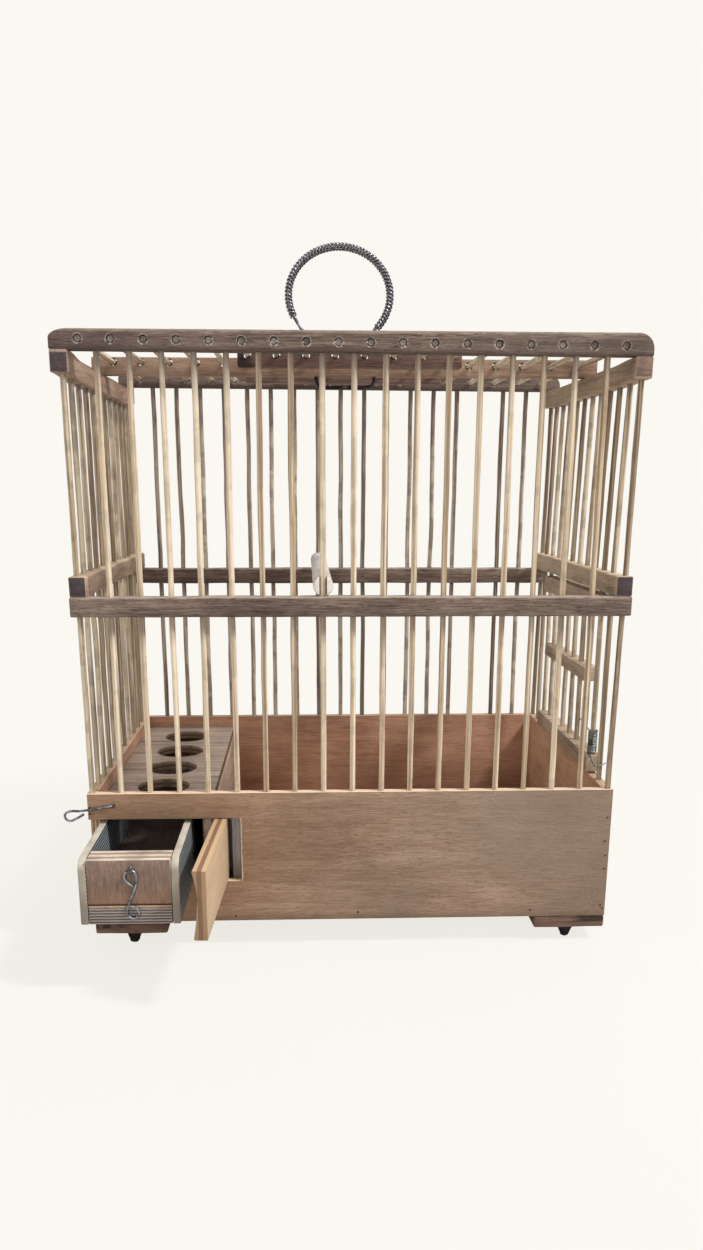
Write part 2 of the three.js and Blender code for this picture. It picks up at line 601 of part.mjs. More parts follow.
function handle() {
  const { wire, left, right, drop, bend, ends, sides, steps } = HANDLE;
  const ringZ = roofRailTop + RING.rise;
  const onRing = (degrees) => {
    const angle = THREE.MathUtils.degToRad(degrees);
    return V(RING.x + RING.halfWide * Math.cos(angle), 0, ringZ + RING.halfTall * Math.sin(angle));
  };
  const low = roofLow - drop;
  const middle = (left + right) / 2;
  // One end of the wire, from under the roof up to its rail: `inward` is the way that its tail is bent.
  const leg = (x, inward) => [
    V(middle - inward * ends, 0, low),
    V(x + inward * bend * 1.6, 0, low),
    V(x + inward * bend * 0.4, 0, low + bend * 0.35),
    V(x, 0, low + bend),
    V(x, 0, roofLow + HANDLE_STRAIGHT.from),
    V(x, 0, roofRailTop + HANDLE_STRAIGHT.past),
  ];
  const count = Math.round((RING.from - RING.to) / RING.step);
  const ring = range(count + 1).map((i) => onRing(RING.from + ((RING.to - RING.from) * i) / count));
  const route = smooth([...leg(left, 1), ...ring, ...leg(right, -1).reverse()]);
  piece("handle_wire", tube(route, wire, sides, steps), FINISH.wire);

  const radius = wire + GRIP.play + GRIP.wire;
  const winding = new Route((t) => {
    const degrees = GRIP.from + (GRIP.to - GRIP.from) * t;
    const out = V(Math.cos(THREE.MathUtils.degToRad(degrees)) / RING.halfWide, 0,
      Math.sin(THREE.MathUtils.degToRad(degrees)) / RING.halfTall).normalize();
    const turn = 2 * Math.PI * GRIP.turns * t;
    const round = V(0, radius * Math.sin(turn), 0);
    return onRing(degrees).addScaledVector(out, radius * Math.cos(turn)).add(round);
  });
  const gap = leastGap(winding, GRIP.turns, GRIP.wire);
  console.log("handle_grip: least gap between turns", gap.toFixed(2), "mm");
  piece("handle_grip", tube(winding, GRIP.wire, GRIP.sides, GRIP.turns * GRIP.steps), FINISH.grip);
}

function perch() {
  const { radius, past, over, sides } = PERCH;
  const x = frontX[over - 1];
  const z = midTop + FIT + radius;
  const end = cornerY + past;
  const slots = [-1, 1].map((side) => {
    const ys = [side * (end + PAST), side * (cornerY - stickRadius - RUN)].sort((a, b) => a - b);
    return box([x - stickRadius - RUN, x + stickRadius + RUN], ys, [z - radius - PAST, z + radius + PAST]);
  });
  piece("perch", cutFrom(rod(V(x, -end, z), V(x, end, z), radius, sides), slots), FINISH.perch);
}

basePanels();
feeder();
feet();
walls();
topRails();
roof();
drawer();
flap();
latch();
sideDoor();
handle();
perch();
cage.position.z = -FLOOR_LIFT;

export default cage;
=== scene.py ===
# %% [markdown]
# # A canary breeding cage
#
# The cage is a plywood base box under walls of round sticks that are let into wooden rails. A seed drawer
# slides through the front of the box behind a flap, and a wire ring with a wound grip carries the whole.
# The lesson dresses a packed mechanical model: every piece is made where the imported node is, rides on its
# body, and gets a material that is made of nodes alone.

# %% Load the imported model
import json
import math

import bmesh
import bpy
from mathutils import Matrix, Vector, noise


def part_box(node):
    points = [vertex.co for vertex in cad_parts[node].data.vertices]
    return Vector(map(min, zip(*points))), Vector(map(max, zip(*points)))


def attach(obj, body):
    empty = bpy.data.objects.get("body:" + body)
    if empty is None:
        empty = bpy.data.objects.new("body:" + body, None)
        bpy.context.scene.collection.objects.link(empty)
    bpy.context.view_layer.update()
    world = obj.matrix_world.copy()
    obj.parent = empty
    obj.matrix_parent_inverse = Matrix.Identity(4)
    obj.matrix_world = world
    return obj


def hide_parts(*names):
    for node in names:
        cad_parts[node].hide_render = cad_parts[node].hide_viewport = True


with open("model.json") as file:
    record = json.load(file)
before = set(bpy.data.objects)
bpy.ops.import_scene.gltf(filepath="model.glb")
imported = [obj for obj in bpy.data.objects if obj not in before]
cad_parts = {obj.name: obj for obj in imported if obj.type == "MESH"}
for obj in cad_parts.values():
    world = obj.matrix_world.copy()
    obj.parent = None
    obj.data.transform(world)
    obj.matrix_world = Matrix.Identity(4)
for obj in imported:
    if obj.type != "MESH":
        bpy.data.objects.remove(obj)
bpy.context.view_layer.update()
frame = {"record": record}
MM = 0.001

# %% [markdown]
# ## Places
#
# Everything that repeats along the walls follows one spacing, so a few numbers give the place of every
# stick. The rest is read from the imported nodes. A helper turns millimetres into metres once, so that the
# cells below can speak in millimetres, as a joiner does.

# %% The spacing of the sticks and the levels of the cage
PITCH = 18.0  # front, back and roof sticks, centre to centre
WALL_X = 162.0  # plane of the side sticks
WALL_Y = 108.0  # plane of the front and back sticks
SIDE_PITCH = 2 * WALL_Y / 11
BASE_X, BASE_Y, PLY = 165.0, 111.0, 6.0
LIFT = -2.0  # the base's lower edges, under the floor's underside
BASE_TOP = 84.0
ROOF_LOW = 339.1  # underside of the front and back top rails
ROOF_STICK_Z = 345.7
MIDDLE_LOW, MIDDLE_HIGH = 193.6, 205.3  # the front and back middle rails
SIDE_MIDDLE = (MIDDLE_HIGH - 0.1, 217.3)  # the side middle rails lie on them
RAIL_X, RAIL_Y = WALL_X + 5.3, WALL_Y + 5.0  # how far the rails reach
HALF_RAIL = 5.0  # half the rails' thickness
LET_IN = 6.0
STICK = 1.8  # radius of the round sticks
SNUG, LOOSE = 0.3, 0.45  # gaps round what is glued and round what turns

FRONT_X = [(k + 1) * PITCH - WALL_X for k in range(17)]
ROOF_X = [(k + 0.5) * PITCH - WALL_X for k in range(18)]
SIDE_Y = [k * SIDE_PITCH - WALL_Y for k in range(12)]  # 0 and 11 are the corner sticks


def mm(*values):
    return Vector([v * MM for v in values])


def span(node):
    """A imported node's lowest and highest corners, in millimetres."""
    low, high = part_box(node)
    return [c / MM for c in low], [c / MM for c in high]


print("front sticks", len(FRONT_X), "roof sticks", len(ROOF_X), "base top",
      round(span("front_panel")[1][2], 2))

# %% [markdown]
# ## Camera
#
# The camera stands where the photographer stood: a little over the middle of the cage, looking down by 15
# degrees. Its place was fitted to the ends of the sticks and the corners of the base, so the lens and the
# small shift are numbers and not taste.

# %% Camera
LENS = 28.796
CAMERA_PLACE = (-0.028715, -0.708472, 0.268383)
CAMERA_TURN = (75.00734, -0.11856, -2.21833)
CAMERA_SHIFT = (0.005672, 0.103665)

camera_data = bpy.data.cameras.new("camera")
camera_data.lens, camera_data.sensor_width = LENS, 36.0
camera_data.shift_x, camera_data.shift_y = CAMERA_SHIFT
camera_data.clip_start, camera_data.clip_end = 0.01, 50.0
camera = bpy.data.objects.new("camera", camera_data)
camera.location = CAMERA_PLACE
camera.rotation_euler = [math.radians(a) for a in CAMERA_TURN]
bpy.context.scene.collection.objects.link(camera)
bpy.context.scene.camera = camera
print("camera", CAMERA_PLACE, "lens", LENS)

# %% [markdown]
# ## Shader maths as Python
#
# A shader is arithmetic on numbers that change over a surface. Adding Math nodes one by one hides that, so
# a small class wraps a socket and takes the usual operators: `1 - mask * 0.5` then adds its own nodes.
# Every other node comes from one method, which sets the node's choices before its sockets. The same class
# builds the Geometry Nodes trees.

# %% A socket that can be used in arithmetic
class Value:
    def __init__(self, graph, socket):
        self.graph, self.socket = graph, socket

    def maths(self, operation, *others):
        return self.graph.node("ShaderNodeMath", dict(enumerate((self, *others))), operation=operation)

    def __add__(self, other):
        return self.maths("ADD", other)

    def __sub__(self, other):
        return self.maths("SUBTRACT", other)

    def __mul__(self, other):
        return self.maths("MULTIPLY", other)

    def __truediv__(self, other):
        return self.maths("DIVIDE", other)

    def __rsub__(self, other):
        return (self * -1.0) + other

    def __pow__(self, other):
        return self.maths("POWER", other)

    __radd__, __rmul__ = __add__, __mul__

    def size(self):
        return self.maths("ABSOLUTE")

    def fract(self):
        return self.maths("FRACT")

    def sin(self):
        return self.maths("SINE")

    def cos(self):
        return self.maths("COSINE")

    def least(self, other):
        return self.maths("MINIMUM", other)

    def most(self, other):
        return self.maths("MAXIMUM", other)

    def rise(self, start, end):
        """0 before start, 1 after end, smooth between them. It falls where end is less than start."""
        sockets = {"Value": self, "From Min": start, "From Max": end, "To Min": 0.0, "To Max": 1.0}
        if end < start:
            sockets.update({"From Min": end, "From Max": start, "To Min": 1.0, "To Max": 0.0})
        return self.graph.node("ShaderNodeMapRange", sockets, interpolation_type="SMOOTHSTEP")

    def reach(self, start, end):
        """rise, with start and end in millimetres."""
        return self.rise(start * MM, end * MM)


class Graph:
    """The nodes of one shader or Geometry Nodes tree."""

    def __init__(self, tree):
        self.tree = tree

    def node(self, kind, sockets=None, out=0, stops=None, **settings):
        node = self.tree.nodes.new(kind)
        for key, value in settings.items():
            setattr(node, key, value)
        if stops:
            ramp = node.color_ramp
            while len(ramp.elements) < len(stops):
                ramp.elements.new(0.5)
            for element, (at, colour) in zip(ramp.elements, stops):
                element.position, element.color = at, (*colour, 1.0)
        for key, value in (sockets or {}).items():
            if isinstance(value, Value):
                self.tree.links.new(value.socket, node.inputs[key])
            else:
                node.inputs[key].default_value = value
        return Value(self, node.outputs[out])

    def join(self, x, y, z):
        return self.node("ShaderNodeCombineXYZ", {0: x, 1: y, 2: z})

    def split(self, vector):
        first = self.node("ShaderNodeSeparateXYZ", {0: vector})
        outputs = first.socket.node.outputs
        return [Value(self, outputs[i]) for i in range(3)]

    def vector(self, operation, *sockets, out=0):
        return self.node("ShaderNodeVectorMath", dict(enumerate(sockets)), out=out, operation=operation)

    def mix(self, factor, a, b, blend="MIX"):
        """Colours a to b. A plain colour is a tuple of three."""
        full = [c if isinstance(c, Value) else (*c, 1.0) for c in (a, b)]
        return self.node("ShaderNodeMix", {0: factor, 6: full[0], 7: full[1]}, out=2,
                         data_type="RGBA", blend_type=blend)

    def ramp(self, value, stops):
        return self.node("ShaderNodeValToRGB", {0: value}, stops=stops)

    def noise(self, place, waves, detail=3.0, roughness=0.55, move=0.0):
        """Noise from 0 to 1, near a half on average. waves is a number a metre, or one for each axis."""
        at = self.vector("MULTIPLY", place, waves if isinstance(waves, tuple) else (waves,) * 3)
        if move:
            at = self.vector("ADD", at, (move, move * 1.7, move * 2.3))
        return self.node("ShaderNodeTexNoise",
                         {"Vector": at, "Scale": 1.0, "Detail": detail, "Roughness": roughness})


def paint(red, green, blue):
    """A colour as it is read off a screen, from 0 to 255, made linear."""
    shares = [c / 255 for c in (red, green, blue)]
    return tuple(c / 12.92 if c <= 10 / 255 else ((c + 0.055) / 1.055) ** 2.4 for c in shares)


def shade(colour, factor):
    return tuple(min(1.0, c * factor) for c in colour)


print("shader maths ready")

# %% [markdown]
# ## Materials
#
# All of the wood here is old, dry and unvarnished, so one recipe serves: fine streaks along the fibres,
# broader bands of growth, blotches of handling and dark open pores, each a noise that is stretched along
# the grain. What differs is the tones, how strong each part is, and what happened to the piece since: a
# sawn end, worn edges, a burn.

# %% A material and its shader
def surface(name, build, roughness=0.75, specular=0.3, metallic=0.0):
    """A material. build(graph, place, normal) returns its colour, height and, if it varies, its roughness."""
    material = bpy.data.materials.new(name)
    material.use_nodes = True
    tree = material.node_tree
    shader = tree.nodes["Principled BSDF"]
    graph = Graph(tree)
    place = graph.node("ShaderNodeTexCoord", out="Object")
    normal = Value(graph, place.socket.node.outputs["Normal"])
    colour, height, rough = build(graph, place, normal)
    tree.links.new(colour.socket, shader.inputs["Base Color"])
    bump = graph.node("ShaderNodeBump", {"Strength": 1.0, "Distance": 1.0, "Height": height}, out="Normal")
    tree.links.new(bump.socket, shader.inputs["Normal"])
    if rough is None:
        shader.inputs["Roughness"].default_value = roughness
    else:
        tree.links.new(rough.socket, shader.inputs["Roughness"])
    shader.inputs["Metallic"].default_value = metallic
    shader.inputs["Specular IOR Level"].default_value = specular
    return material


def along(axis, slow, fast):
    """Waves a metre: slow along the fibres' axis, fast across it."""
    return tuple(slow if i == axis else fast for i in range(3))


# %% [markdown]
# ### Wood
#
# The recipe takes the axis that the fibres follow and three tones. Plywood also has an edge: where the
# surface doesn't face the way that the sheet does, the veneers show as thin layers. The surface's own
# direction, in the object's coordinates, tells the two apart.

# %% The wood recipe
X, Y, Z = 0, 1, 2
DRY = 0.78  # the roughness of bare old wood


def wavy(graph, place, reach, waves=9.0):
    """The place, led astray by up to reach millimetres, so that fibres bend as in a real board."""
    at = graph.vector("MULTIPLY", place, (waves,) * 3)
    drift = graph.node("ShaderNodeTexNoise", {"Vector": at, "Scale": 1.0, "Detail": 2.0}, out="Color")
    centred = graph.vector("SUBTRACT", drift, (0.5, 0.5, 0.5))
    return graph.vector("ADD", place, graph.vector("MULTIPLY", centred, (2 * reach * MM,) * 3))


def grain(graph, place, tones, axis, streak=1.0, band=1.0, blotch=1.0, pores=0.5, fine=950.0, long=26.0,
          waver=3.0, dash=1.0, relief=1.0, cracks=0.0, move=0.0):
    """The colour and the height of bare wood. tones are dark, middle and pale."""
    dark, middle, pale = tones
    bent = wavy(graph, place, waver)
    streaks = graph.noise(bent, along(axis, long, fine), detail=3.0, roughness=0.68, move=move)
    bands = graph.noise(bent, along(axis, 5.0, 150.0), detail=2.0, move=move + 3.0)
    blotches = graph.noise(place, (15.0, 15.0, 19.0), detail=4.0, roughness=0.6, move=move + 7.0)
    dashes = graph.noise(bent, along(axis, 150.0 * dash, 1700.0 * dash), detail=2.0, move=move + 11.0)
    tone = 0.5 + (streaks - 0.5) * (1.1 * streak) + (bands - 0.5) * (0.7 * band) + (blotches - 0.5) * blotch
    tone = tone + (dashes - 0.5) * (0.55 * streak)
    colour = graph.ramp(tone, [(0.2, dark), (0.5, middle), (0.8, pale)])
    pore = dashes.rise(0.57, 0.68)
    colour = graph.mix(pore * pores, colour, shade(dark, 0.55))
    if cracks:
        thin = graph.noise(bent, along(axis, 15.0, 620.0), detail=2.0, roughness=0.4, move=move + 17.0)
        colour = graph.mix((thin - 0.5).size().rise(0.035, 0.008) * cracks, colour, shade(dark, 0.75))
    height = (streaks - 0.5) * (0.3 * MM * streak * relief) - pore * (0.14 * MM * pores * relief)
    return colour, height


def veneers(graph, place, normal, face, low, high, layers, tones):
    """A mask of a sheet's edges and the colour of its layers. low and high are the sheet's faces, in mm."""
    facing = graph.split(normal)[face].size()
    across = graph.split(place)[face]
    ragged = graph.noise(place, 260.0, detail=2.0) - 0.5
    layer = ((across - low * MM) / ((high - low) * MM) + ragged * 0.05) * layers
    odd = (layer * 0.5).fract().rise(0.42, 0.54) * (layer * 0.5).fract().rise(1.02, 0.94)
    fibres = graph.noise(place, 900.0, detail=2.0)
    colour = graph.mix((odd + (fibres - 0.5) * 0.7).rise(0.1, 0.9), tones[0], tones[1])
    return facing.rise(0.85, 0.6), colour


def timber(name, tones, axis, sheet=None, stain=None, **strengths):
    """Bare wood. sheet is (face axis, low, high, layers, (layer, layer)) for plywood, and
    stain(graph, place, normal, colour) returns the colour with what happened to this piece."""
    def build(graph, place, normal):
        colour, height = grain(graph, place, tones, axis, **strengths)
        if sheet:
            face, low, high, layers, layer_tones = sheet
            edge, layered = veneers(graph, place, normal, face, low, high, layers, layer_tones)
            colour = graph.mix(edge, colour, layered)
        if stain:
            colour = stain(graph, place, normal, colour)
        return colour, height, None
    return surface(name, build, roughness=DRY)


# %% [markdown]
# The base's plywood is tan, warmer round the hatch and greyer to the right, with a soiled lower edge and a
# pale, pinkish top edge whose paleness is partly painted light from above. A dark crescent by the latch is a
# painted shadow. Inside, where no light has bleached it, the same sheet is a reddish brown.

# %% The base box's plywood
def base_stain_and_light(graph, place, normal, colour):
    x, _, z = graph.split(place)
    up = graph.split(normal)[2]
    figure = ((z + graph.noise(place, (6.0, 6.0, 11.0), detail=2.0, move=21.0) * (70 * MM)) * 520.0).sin()
    colour = graph.mix(figure.rise(0.2, 1.0) * 0.16, colour, paint(108, 80, 60))
    warm = x.rise(0.02, -0.14) * 0.4
    colour = graph.mix(warm, colour, paint(158, 118, 84))
    grey = graph.noise(place, (9.0, 9.0, 16.0), detail=4.0, roughness=0.6, move=5.0).rise(0.36, 0.62)
    colour = graph.mix(grey * x.rise(-0.08, 0.1) * 0.6, colour, paint(134, 119, 105))
    colour = graph.mix(x.rise(0.02, 0.16) * 0.3, colour, paint(112, 91, 78))
    soil_and_shade = z.rise(0.004, -0.002) * 0.4
    colour = graph.mix(soil_and_shade, colour, paint(96, 76, 62))
    specks = graph.noise(place, 700.0, detail=1.0, move=2.0).rise(0.74, 0.8)
    colour = graph.mix(specks * 0.35, colour, paint(214, 190, 164))
    ragged = graph.noise(place, 500.0, detail=2.0, move=13.0)
    inside = z.reach(HATCH_LOW - 1, HATCH_LOW + 2) * z.reach(HATCH_HIGH + 1, HATCH_HIGH - 1)
    frayed = (x + (ragged - 0.5) * (1.6 * MM)).reach(HATCH_RIGHT + 1.1, HATCH_RIGHT + 0.3) * inside
    frayed = frayed * x.reach(HATCH_RIGHT - 1, HATCH_RIGHT)
    colour = graph.mix(frayed * 0.75, colour, paint(226, 210, 192))
    # painted shadow: a dark crescent beside the latch wire where it goes into the strip
    rim = (((x - (LATCH_X + 0.7) * MM) ** 2.0 + (z - LATCH_Z * MM) ** 2.0) ** 0.5).reach(2.1, 1.4)
    colour = graph.mix(rim * 0.7, colour, paint(74, 50, 40))
    # faces that look up, the plywood's top edge, are painted pale and pinkish: partly the edge's own colour,
    # partly painted light from above
    return graph.mix(up.rise(0.6, 0.9) * 0.8, colour, paint(240, 210, 182))


def inner_stain_and_lit_top(graph, place, normal, colour):
    z = graph.split(place)[2]
    up = graph.split(normal)[2]
    deep = z.rise(0.06, 0.012) * 0.3
    colour = graph.mix(deep, colour, paint(104, 68, 50))
    # faces that look up, the panels' top edges, are painted paler: partly the edge's own colour, partly
    # painted light from above
    return graph.mix(up.rise(0.6, 0.9) * 0.7, colour, paint(182, 154, 130))


def outer_face(graph, place, normal, colour):
    """The outer side of a side panel has bleached like the front."""
    x = graph.split(place)[0].size()
    out = x.reach(BASE_X - 1.0, BASE_X - 0.5)
    return graph.mix(out * 0.75, colour, paint(150, 124, 102))


def both(*stains):
    def stain(graph, place, normal, colour):
        for one in stains:
            colour = one(graph, place, normal, colour)
        return colour
    return stain


HATCH_RIGHT, HATCH_LOW, HATCH_HIGH, HATCH_CORNER = -70.5, 25.4, 67.4, 1.5
LATCH_X, LATCH_Z = -149.8, 76.4
BASE_TONES = (paint(118, 91, 74), paint(148, 120, 99), paint(176, 150, 129))
INNER_TONES = (paint(132, 94, 73), paint(171, 128, 101), paint(194, 153, 124))
# the right panel's tones are a lighter copy of the inner tones: painted light on its inner face, which the
# lamps leave in shade
RIGHT_LIT_TONES = (paint(150, 112, 87), paint(192, 150, 118), paint(212, 172, 140))
EDGE_TONES = (paint(196, 164, 134), paint(148, 112, 84))
front_ply = timber("front_plywood", BASE_TONES, X, sheet=(Y, -BASE_Y, -BASE_Y + PLY, 5, EDGE_TONES),
                   stain=base_stain_and_light, band=0.5, blotch=0.9, pores=0.7, streak=0.9, fine=1400.0, long=80.0,
                   dash=1.3)
back_ply = timber("back_plywood", INNER_TONES, X, sheet=(Y, BASE_Y - PLY, BASE_Y, 5, EDGE_TONES),
                  stain=inner_stain_and_lit_top, band=0.6, pores=0.4, streak=0.7, fine=1100.0, long=50.0)
SIDE_PLY = {
    side: timber(f"{side}_plywood", tones, Y, sheet=(X, BASE_X - PLY, BASE_X, 5, EDGE_TONES),
                 stain=both(inner_stain_and_lit_top, outer_face), band=0.6, pores=0.4, streak=0.7, fine=1100.0, long=50.0)
    for side, tones in (("left", INNER_TONES), ("right", RIGHT_LIT_TONES))}
floor_ply = timber("floor_plywood", INNER_TONES, X, band=0.6, pores=0.4, streak=0.7)

# %% [markdown]
# The feeder board is grey from use, with dark cracks across it. The board behind the hatch is a cold grey.

# %% The feeder's boards
def feeder_stain(graph, place, normal, colour):
    cracks = graph.noise(place, (9.0, 420.0, 9.0), detail=2.0, move=4.0).rise(0.56, 0.64)
    colour = graph.mix(cracks * 0.75, colour, paint(92, 72, 60))
    pale = graph.noise(place, (16.0, 34.0, 16.0), detail=2.0, move=8.0).rise(0.5, 0.75)
    colour = graph.mix(pale * 0.4, colour, paint(176, 158, 142))
    sawn = graph.split(normal)[2].size().rise(0.7, 0.4)
    return graph.mix(sawn * 0.6, colour, paint(92, 72, 56))


def riser_painted_shade(graph, place, normal, colour):
    """The side towards the drawer is painted nearly black: painted shade inside the drawer bay."""
    x = graph.split(place)[0]
    # painted shade: the riser's face towards the drawer is darkened nearly to black
    return graph.mix(x.reach(RISER_LEFT + 0.4, RISER_LEFT) * 0.9, colour, paint(38, 30, 28))


RISER_LEFT = -94.5
FEEDER_TONES = (paint(124, 104, 89), paint(163, 143, 127), paint(190, 171, 155))
RISER_TONES = (paint(134, 110, 93), paint(177, 152, 134), paint(198, 177, 160))
GREY_TONES = (paint(126, 122, 122), paint(160, 155, 154), paint(190, 188, 188))


def grey_board_foot_shade(graph, place, normal, colour):
    """The foot of the board behind the hatch is painted browner and darker than its head: painted shade at
    its bottom.
    """
    z = graph.split(place)[2]
    # painted shade at the board's foot
    return graph.mix(z.reach(44, 28) * 0.55, colour, paint(104, 90, 88))


feeder_low, feeder_high = span("feeder_board")
feeder_ply = timber("feeder_plywood", FEEDER_TONES, X, stain=feeder_stain,
                    sheet=(Z, feeder_low[2], feeder_high[2], 3, (paint(170, 146, 120), paint(96, 74, 58))))
riser_ply = timber("riser_plywood", RISER_TONES, Y, stain=riser_painted_shade, blotch=0.8)
grey_board = timber("grey_board", GREY_TONES, Z, stain=grey_board_foot_shade, streak=0.7, band=0.8, blotch=0.7,
                    pores=0.2)

# %% [markdown]
# The rails are weathered hardwood. The long top rail is purplish at its left end and yellower at its right,
# its upper edge is worn pale, and every stick end sits in a hole that has frayed the wood round it. The
# rails' upward faces are painted paler as painted light from above, and the mouth of each hole is painted
# dark as painted shade. The sawn ends of the side rails have gone nearly black.

# %% The rails
def worn_and_lit_top(top, width, tone, amount=0.6):
    """A stain that wears a rail's upper edge pale and paints the faces that look up paler, as painted light
    from
    above: top is its level and width the wear's reach, in mm.
    """
    def stain(graph, place, normal, colour):
        z = graph.split(place)[2]
        ragged = graph.noise(place, (130.0, 130.0, 400.0), detail=3.0, move=6.0) - 0.5
        wear = (z + ragged * (2.4 * MM)).reach(top - width, top)
        # faces that look up are painted paler: painted light from above
        up = graph.split(normal)[2].rise(0.4, 0.9)
        return graph.mix(wear.most(up * 1.2).least(1.0) * amount, colour, tone)
    return stain


def dark_ends(middle_x, low, high, tone=paint(52, 41, 47)):
    """A stain that blackens the sawn ends of a rail along Y and leaves a pale rim round them. middle_x, low
    and high say where the rail lies."""
    def stain(graph, place, normal, colour):
        x, y, z = graph.split(place)
        end = graph.split(normal)[1].size().rise(0.35, 0.75)
        rings = graph.noise(place, (240.0, 60.0, 420.0), detail=2.0, move=9.0)
        marked = graph.mix(rings.rise(0.35, 0.7) * 0.6, tone, shade(tone, 2.2))
        aside = (x - middle_x * MM).size() / (5.0 * MM)
        above = (z - (low + high) / 2 * MM).size() / ((high - low) / 2 * MM)
        ragged = graph.noise(place, 500.0, detail=2.0, move=4.0) - 0.5
        rim = (aside.most(above) + ragged * 0.2).rise(0.86, 0.98)
        marked = graph.mix(rim * 0.8, marked, paint(166, 142, 126))
        near = y.size().reach(RAIL_Y - 1.6, RAIL_Y - 0.2)
        colour = graph.mix(near * 0.5, colour, paint(176, 152, 132))
        return graph.mix(end * 0.95, colour, marked)
    return stain


def hole_fray_and_shade(radius):
    """Frayed pale fibres round each stick end in the long top rails, and painted shade as a dark rim at each
    hole's mouth.
    """
    def stain(graph, place, normal, colour):
        x, _, z = graph.split(place)
        across = ((x / (PITCH * MM)).fract() - 0.5) * (PITCH * MM)
        up = z - (ROOF_STICK_Z + 0.5) * MM + x * (1 / RAIL_X)
        away = (across * across + up * up) ** 0.5
        fray = graph.noise(place, 620.0, detail=2.0, move=1.0)
        low_side = up.reach(1.5, -1.5) * 0.6 + 0.4
        ring = away.reach(radius + 1.5, radius + 0.3) * fray.rise(0.42, 0.6) * low_side
        face = graph.split(normal)[1].size().rise(0.5, 0.8)
        inside = x.size().reach(160.0, 158.0)
        colour = graph.mix(ring * face * inside * 0.8, colour, paint(190, 176, 164))
        # painted shade: a dark rim at the mouth of each hole
        return graph.mix(away.reach(radius + 0.35, radius) * face * inside * 0.9, colour, paint(34, 26, 24))
    return stain


def low_shade(graph, place, normal, colour):
    """The lower edge of the long top rails is painted dark: partly dirt from handling, partly painted shade
    under the rail.
    """
    x, _, z = graph.split(place)
    ragged = graph.noise(place, (60.0, 60.0, 300.0), detail=3.0, move=15.0) - 0.5
    level = z - (ROOF_LOW + 1.6) * MM + x * (0.75 / RAIL_X)
    # painted darker at the lower edge: dirt and painted shade
    return graph.mix((level + ragged * (2.0 * MM)).reach(3.4, 0.4) * 0.55, colour, paint(66, 50, 42))


def burn(graph, place, normal, colour):
    """The front cleat is charred at its left end."""
    x, y, _ = graph.split(place)
    ragged = graph.noise(place, 150.0, detail=3.0, move=4.0) - 0.5
    charred = (x + ragged * (14 * MM)).reach(-56, -64) * y.rise(0.0, -0.01)
    return graph.mix(charred * 0.85, colour, paint(30, 23, 22))


def left_to_right(graph, place, normal, colour):
    x = graph.split(place)[0]
    colour = graph.mix(x.rise(-0.02, -0.15) * 0.45, colour, paint(84, 68, 68))
    return graph.mix(x.rise(0.02, 0.14) * 0.3, colour, paint(108, 96, 86))


RAIL_TONES = (paint(72, 56, 50), paint(108, 90, 80), paint(142, 124, 112))
TAN_TONES = (paint(106, 80, 64), paint(146, 119, 99), paint(174, 149, 128))
OLIVE_TONES = (paint(120, 99, 79), paint(165, 144, 121), paint(194, 175, 152))
CLEAT_TONES = (paint(64, 46, 42), paint(104, 80, 72), paint(140, 114, 102))
HOLE = STICK + SNUG  # radius of the holes for the roof's sticks
# pale tones for worn upper edges and for painted light on faces that look up
PALE_WEAR_AND_LIGHT, TOP_WEAR_AND_LIGHT = paint(182, 162, 146), paint(202, 178, 150)
WEATHERED = {"fine": 1000.0, "long": 45.0, "streak": 0.95, "band": 0.9, "pores": 0.75, "waver": 4.0,
             "dash": 1.0, "relief": 1.8, "cracks": 0.45}
PLANED = {"fine": 850.0, "long": 34.0, "streak": 0.7, "band": 0.7, "pores": 0.4, "waver": 3.5, "dash": 0.9,
          "relief": 1.1, "cracks": 0.18}
rail_top = span("top_rail_front")[1][2]
front_rail_wood = timber("top_rail_wood", RAIL_TONES, X, **WEATHERED,
                         stain=both(left_to_right, low_shade, worn_and_lit_top(rail_top, 2.2, PALE_WEAR_AND_LIGHT, 0.55),
                                    hole_fray_and_shade(HOLE)))
middle_rail_wood = timber("middle_rail_wood", RAIL_TONES, X, **WEATHERED,
                          stain=worn_and_lit_top(MIDDLE_HIGH, 1.3, PALE_WEAR_AND_LIGHT, 0.75))
SIDE_WOODS = {}
SIDE_WALLS = {"left": (-WALL_X, TAN_TONES, paint(58, 46, 52)),
              "right": (WALL_X, OLIVE_TONES, paint(104, 84, 74))}
for wall, (x, tones, end_tone) in SIDE_WALLS.items():
    low, high = span(f"top_rail_{wall}")
    top_stain = dark_ends(x + math.copysign(2, x), low[2] + 1.6, high[2] + 1.6, end_tone)
    SIDE_WOODS[wall, "top"] = timber(f"{wall}_top_rail_wood", tones, Y, **PLANED, stain=top_stain)
    middle_stain = both(worn_and_lit_top(SIDE_MIDDLE[1], 1.2, TOP_WEAR_AND_LIGHT, 0.8), dark_ends(x, *SIDE_MIDDLE))
    SIDE_WOODS[wall, "middle"] = timber(f"{wall}_middle_rail_wood", tones, Y, **PLANED, stain=middle_stain)
roof_rail_wood = timber("roof_rail_wood", TAN_TONES, X, **PLANED)
cleat_wood = timber("cleat_wood", CLEAT_TONES, X, **PLANED, stain=burn)
door_wood = timber("door_wood", OLIVE_TONES, Y, **PLANED)
print("rail woods ready")
